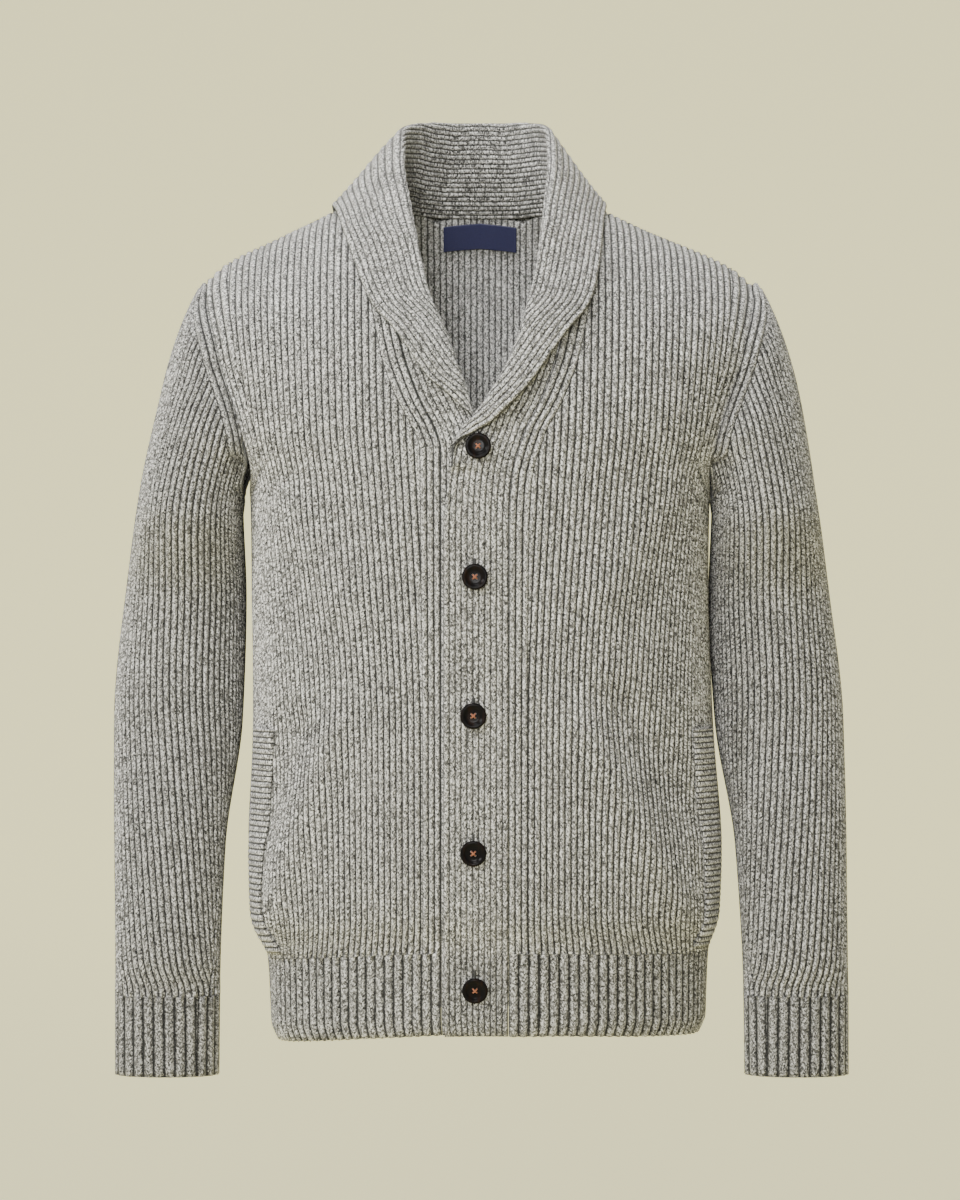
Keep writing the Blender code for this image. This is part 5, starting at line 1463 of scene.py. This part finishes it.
def cut_buttonhole(number, finish):
    """The worked slit above a button: a narrow, sunken lens with a rim of wool, coloured
    near-black as painted shade in the slit.
    """
    across, height, _ = BUTTON_PLACES[number]
    middle = height + HOLE_ABOVE
    over = LAP_OVER + BAND_WALL + BAND_RIB
    rows = []
    cloth = Cloth()
    for share in np.linspace(-1, 1, 15):
        level = level_at(across, middle + share * HOLE_LENGTH / 2)
        along = signed_along(level, across, False)
        half = HOLE_HALF_WIDTH * math.sqrt(max(0.0, 1 - share * share)) + 0.00012
        spread = np.linspace(-1, 1, 7)
        points, normals = torso(level, along + spread * half, False)
        outer = points + normals * (over + 0.0004 * (1 - spread[:, None] ** 2) + 0.0001)
        inner = points + normals * (over - 0.0003)
        rows.append([[cloth.put(spread, spread, points, spread * 2, share * 3)]
                     for points in (outer, inner)])
    cloth.join_rows(rows)
    piece(cloth, f"buttonhole_{number + 1}", finish, "marl_knit")


class CardiganSizes(bpy.types.PropertyGroup):
    """Sizes of the knit that a user may change."""

    stitch_relief: bpy.props.FloatProperty(
        name="Stitch relief", description="How far a stitch stands out of its rib",
        default=0.0010, min=0.0, max=0.004, subtype="DISTANCE", unit="LENGTH")
    stitch_slope: bpy.props.FloatProperty(
        name="Stitch slope", description="How much of a course each leg of a stitch rises",
        default=0.55, min=0.0, max=1.5, subtype="FACTOR")


def colour(name, description, default):
    """A colour that a user may change."""
    return bpy.props.FloatVectorProperty(name=name, description=description, default=default,
                                         min=0.0, max=1.0, subtype="COLOR")


class CardiganColours(bpy.types.PropertyGroup):
    """Colours of the wool, the buttons, the label and the stage."""

    dark_strand: colour("Dark strand", "The darkest wool in the marl",
                        (0.040, 0.039, 0.036))
    middle_strand: colour("Middle strand", "The grey wool in the marl",
                          (0.27, 0.264, 0.246))
    pale_strand: colour("Pale strand", "The palest wool in the marl",
                        (0.95, 0.935, 0.89))
    horn: colour("Button horn", "The dark horn of the buttons",
                 (0.006, 0.0055, 0.0055))
    thread: colour("Thread", "The thread that holds the buttons",
                   (0.20, 0.060, 0.020))
    label: colour("Label", "The bare neck label's cloth",
                  (0.008, 0.009, 0.048))
    stage: colour("Stage", "Floor and backdrop",
                  (0.78, 0.745, 0.462))


def wool_of(context, name, **changes):
    """The cardigan's wool, made once for each use of it."""
    made = bpy.data.materials.get(name)
    if made is None:
        colours, sizes = context.scene.cardigan_colours, context.scene.cardigan_sizes
        strands = (colours.dark_strand, colours.middle_strand, colours.pale_strand)
        made = wool(name, strands, sizes.stitch_relief, sizes.stitch_slope, **changes)
    return made


class OBJECT_OT_cardigan_back(bpy.types.Operator):
    """Knits the back panel"""

    bl_idname = "object.cardigan_back"
    bl_label = "Back"

    def execute(self, context):
        finish = wool_of(context, "wool", tone=0.86)
        back = piece(knit_back(), "knitted_back", finish, "marl_knit", "back")
        return {"FINISHED"}


class OBJECT_OT_cardigan_fronts(bpy.types.Operator):
    """Knits the two front panels"""

    bl_idname = "object.cardigan_fronts"
    bl_label = "Fronts"

    def execute(self, context):
        finish = wool_of(context, "wool", tone=0.86)
        for side, name in ((1, "front_left"), (-1, "front_right")):
            front = piece(knit_front(side), f"knitted_{name}", finish, "marl_knit", name)
        return {"FINISHED"}


class OBJECT_OT_cardigan_sleeves(bpy.types.Operator):
    """Knits the two sleeves with their cuffs"""

    bl_idname = "object.cardigan_sleeves"
    bl_label = "Sleeves"

    def execute(self, context):
        # Painted shade: the sleeves get a darker copy of the wool, as they stand at the sides
        # where less light falls
        finish = wool_of(context, "sleeve_wool_painted_shade", tone=0.70)
        for side, name in ((1, "sleeve_left"), (-1, "sleeve_right")):
            made = piece(knit_sleeve(side), f"knitted_{name}", finish, "marl_knit", name)
        return {"FINISHED"}


class OBJECT_OT_cardigan_strip(bpy.types.Operator):
    """Knits the collar and both bands as one strip"""

    bl_idname = "object.cardigan_strip"
    bl_label = "Collar and bands"

    def execute(self, context):
        finish = wool_of(context, "strip_wool", tone=0.80, groove=2.0)
        strip = piece(knit_strip(), "knitted_collar", finish, "marl_knit", "collar",
                      "band_left", "band_right")
        return {"FINISHED"}


class OBJECT_OT_cardigan_welts(bpy.types.Operator):
    """Knits the two pocket welts"""

    bl_idname = "object.cardigan_welts"
    bl_label = "Pocket welts"

    def execute(self, context):
        finish = wool_of(context, "welt_wool")
        for side, way in ((1, "left"), (-1, "right")):
            name = f"pocket_welt_{way}"
            made = piece(knit_welt(side), f"knitted_{name}", finish, "marl_knit", name)
        return {"FINISHED"}


class OBJECT_OT_cardigan_buttons(bpy.types.Operator):
    """Makes the buttons, their threads and their buttonholes"""

    bl_idname = "object.cardigan_buttons"
    bl_label = "Buttons"

    def execute(self, context):
        colours = context.scene.cardigan_colours
        dark = horn(colours.horn)
        thread = woven("thread", colours.thread, 900.0, 0.0001, 0.2)
        # The buttonhole's near-black finish is painted shade for the slit
        slit = woven("buttonhole", SLIT_SHADE, 900.0, 0.0001, 0.0)
        for number in range(len(BUTTON_PLACES)):
            turn_button(number, dark)
            sew_thread(number, thread)
            cut_buttonhole(number, slit)
        return {"FINISHED"}


class OBJECT_OT_cardigan_label(bpy.types.Operator):
    """Sews in the bare neck label"""

    bl_idname = "object.cardigan_label"
    bl_label = "Neck label"

    def execute(self, context):
        satin = woven("label_satin", context.scene.cardigan_colours.label, 700.0, 0.00006, 0.3)
        made = piece(weave_label(), "woven_label", satin, "label_cloth", "label")
        return {"FINISHED"}


class OBJECT_OT_cardigan_stage(bpy.types.Operator):
    """Sets the pale floor and backdrop, the soft lights and the camera"""

    bl_idname = "object.cardigan_stage"
    bl_label = "Stage"

    def execute(self, context):
        scene = context.scene
        n = Nodes("stage")
        place = n.add("ShaderNodeTexCoord").outputs["Object"]
        base = tuple(scene.cardigan_colours.stage)
        near = tuple(c * 0.985 for c in base)
        n.shade(("Base Color", n.ramp(n.noise(place, 1.5), ((0.3, near), (0.7, base)))))
        n.shade(("Roughness", 1.0), ("Specular IOR Level", 0.0), ("Emission Color", (*base, 1.0)),
                ("Emission Strength", STAGE_GLOW))
        sweep = [(-STAGE_HALF, FLOOR)]
        for angle in np.linspace(0, math.pi / 2, 25):
            sweep.append((SWEEP_BACK - SWEEP_ROUND + SWEEP_ROUND * math.sin(angle),
                          FLOOR + SWEEP_ROUND * (1 - math.cos(angle))))
        sweep.append((SWEEP_BACK, STAGE_TOP))
        mesh = bpy.data.meshes.new("stage")
        points = [(x, y, z) for y, z in sweep for x in (-STAGE_HALF, STAGE_HALF)]
        faces = [(2 * k, 2 * k + 1, 2 * k + 3, 2 * k + 2) for k in range(len(sweep) - 1)]
        mesh.from_pydata(points, [], faces)
        mesh.shade_smooth()
        mesh.materials.append(n.material)
        stage = add_object("stage", mesh)
        world = bpy.data.worlds.new("studio")
        scene.world = world
        world.use_nodes = True
        sky = world.node_tree.nodes["Background"].inputs
        sky[0].default_value, sky[1].default_value = (1.0, 0.99, 0.96, 1.0), WORLD_LIGHT
        for name, at, size, power in LIGHTS:
            light = bpy.data.lights.new(name, "AREA")
            light.shape = "RECTANGLE"
            light.size, light.size_y = size
            light.energy = power
            lamp = add_object(name, light)
            lamp.location = at
            aim = Vector(LOOK_AT) - Vector(at)
            lamp.rotation_euler = aim.to_track_quat("-Z", "Y").to_euler()
        camera = bpy.data.cameras.new("camera")
        camera.sensor_fit = "VERTICAL"
        camera.sensor_height = 36.0
        camera.lens = CAMERA_LENS
        view = add_object("camera", camera)
        view.location = CAMERA_AT
        view.rotation_euler = (math.pi / 2, 0, 0)
        scene.camera = view
        return {"FINISHED"}


class VIEW3D_PT_cardigan(bpy.types.Panel):
    """Lists the cardigan's pieces, sizes and colours in the sidebar"""

    bl_label = "Shawl collar cardigan"
    bl_space_type = "VIEW_3D"
    bl_region_type = "UI"
    bl_category = "Cardigan"

    def draw(self, context):
        for group in (context.scene.cardigan_sizes, context.scene.cardigan_colours):
            for name in group.__annotations__:
                self.layout.prop(group, name)
        for step in STEPS:
            self.layout.operator(step.bl_idname)


STEPS = (
    OBJECT_OT_cardigan_back, OBJECT_OT_cardigan_fronts, OBJECT_OT_cardigan_sleeves,
    OBJECT_OT_cardigan_strip, OBJECT_OT_cardigan_welts, OBJECT_OT_cardigan_buttons,
    OBJECT_OT_cardigan_label, OBJECT_OT_cardigan_stage,
)
CLASSES = (CardiganSizes, CardiganColours, *STEPS, VIEW3D_PT_cardigan)


def register():
    for cls in CLASSES:
        bpy.utils.register_class(cls)
    bpy.types.Scene.cardigan_sizes = bpy.props.PointerProperty(type=CardiganSizes)
    bpy.types.Scene.cardigan_colours = bpy.props.PointerProperty(type=CardiganColours)


def unregister():
    del bpy.types.Scene.cardigan_colours
    del bpy.types.Scene.cardigan_sizes
    for cls in reversed(CLASSES):
        bpy.utils.unregister_class(cls)


def main():
    register()
    for step in STEPS:
        group, name = step.bl_idname.split(".")
        getattr(getattr(bpy.ops, group), name)()
    bpy.context.view_layer.update()


if __name__ == "__main__":
    main()
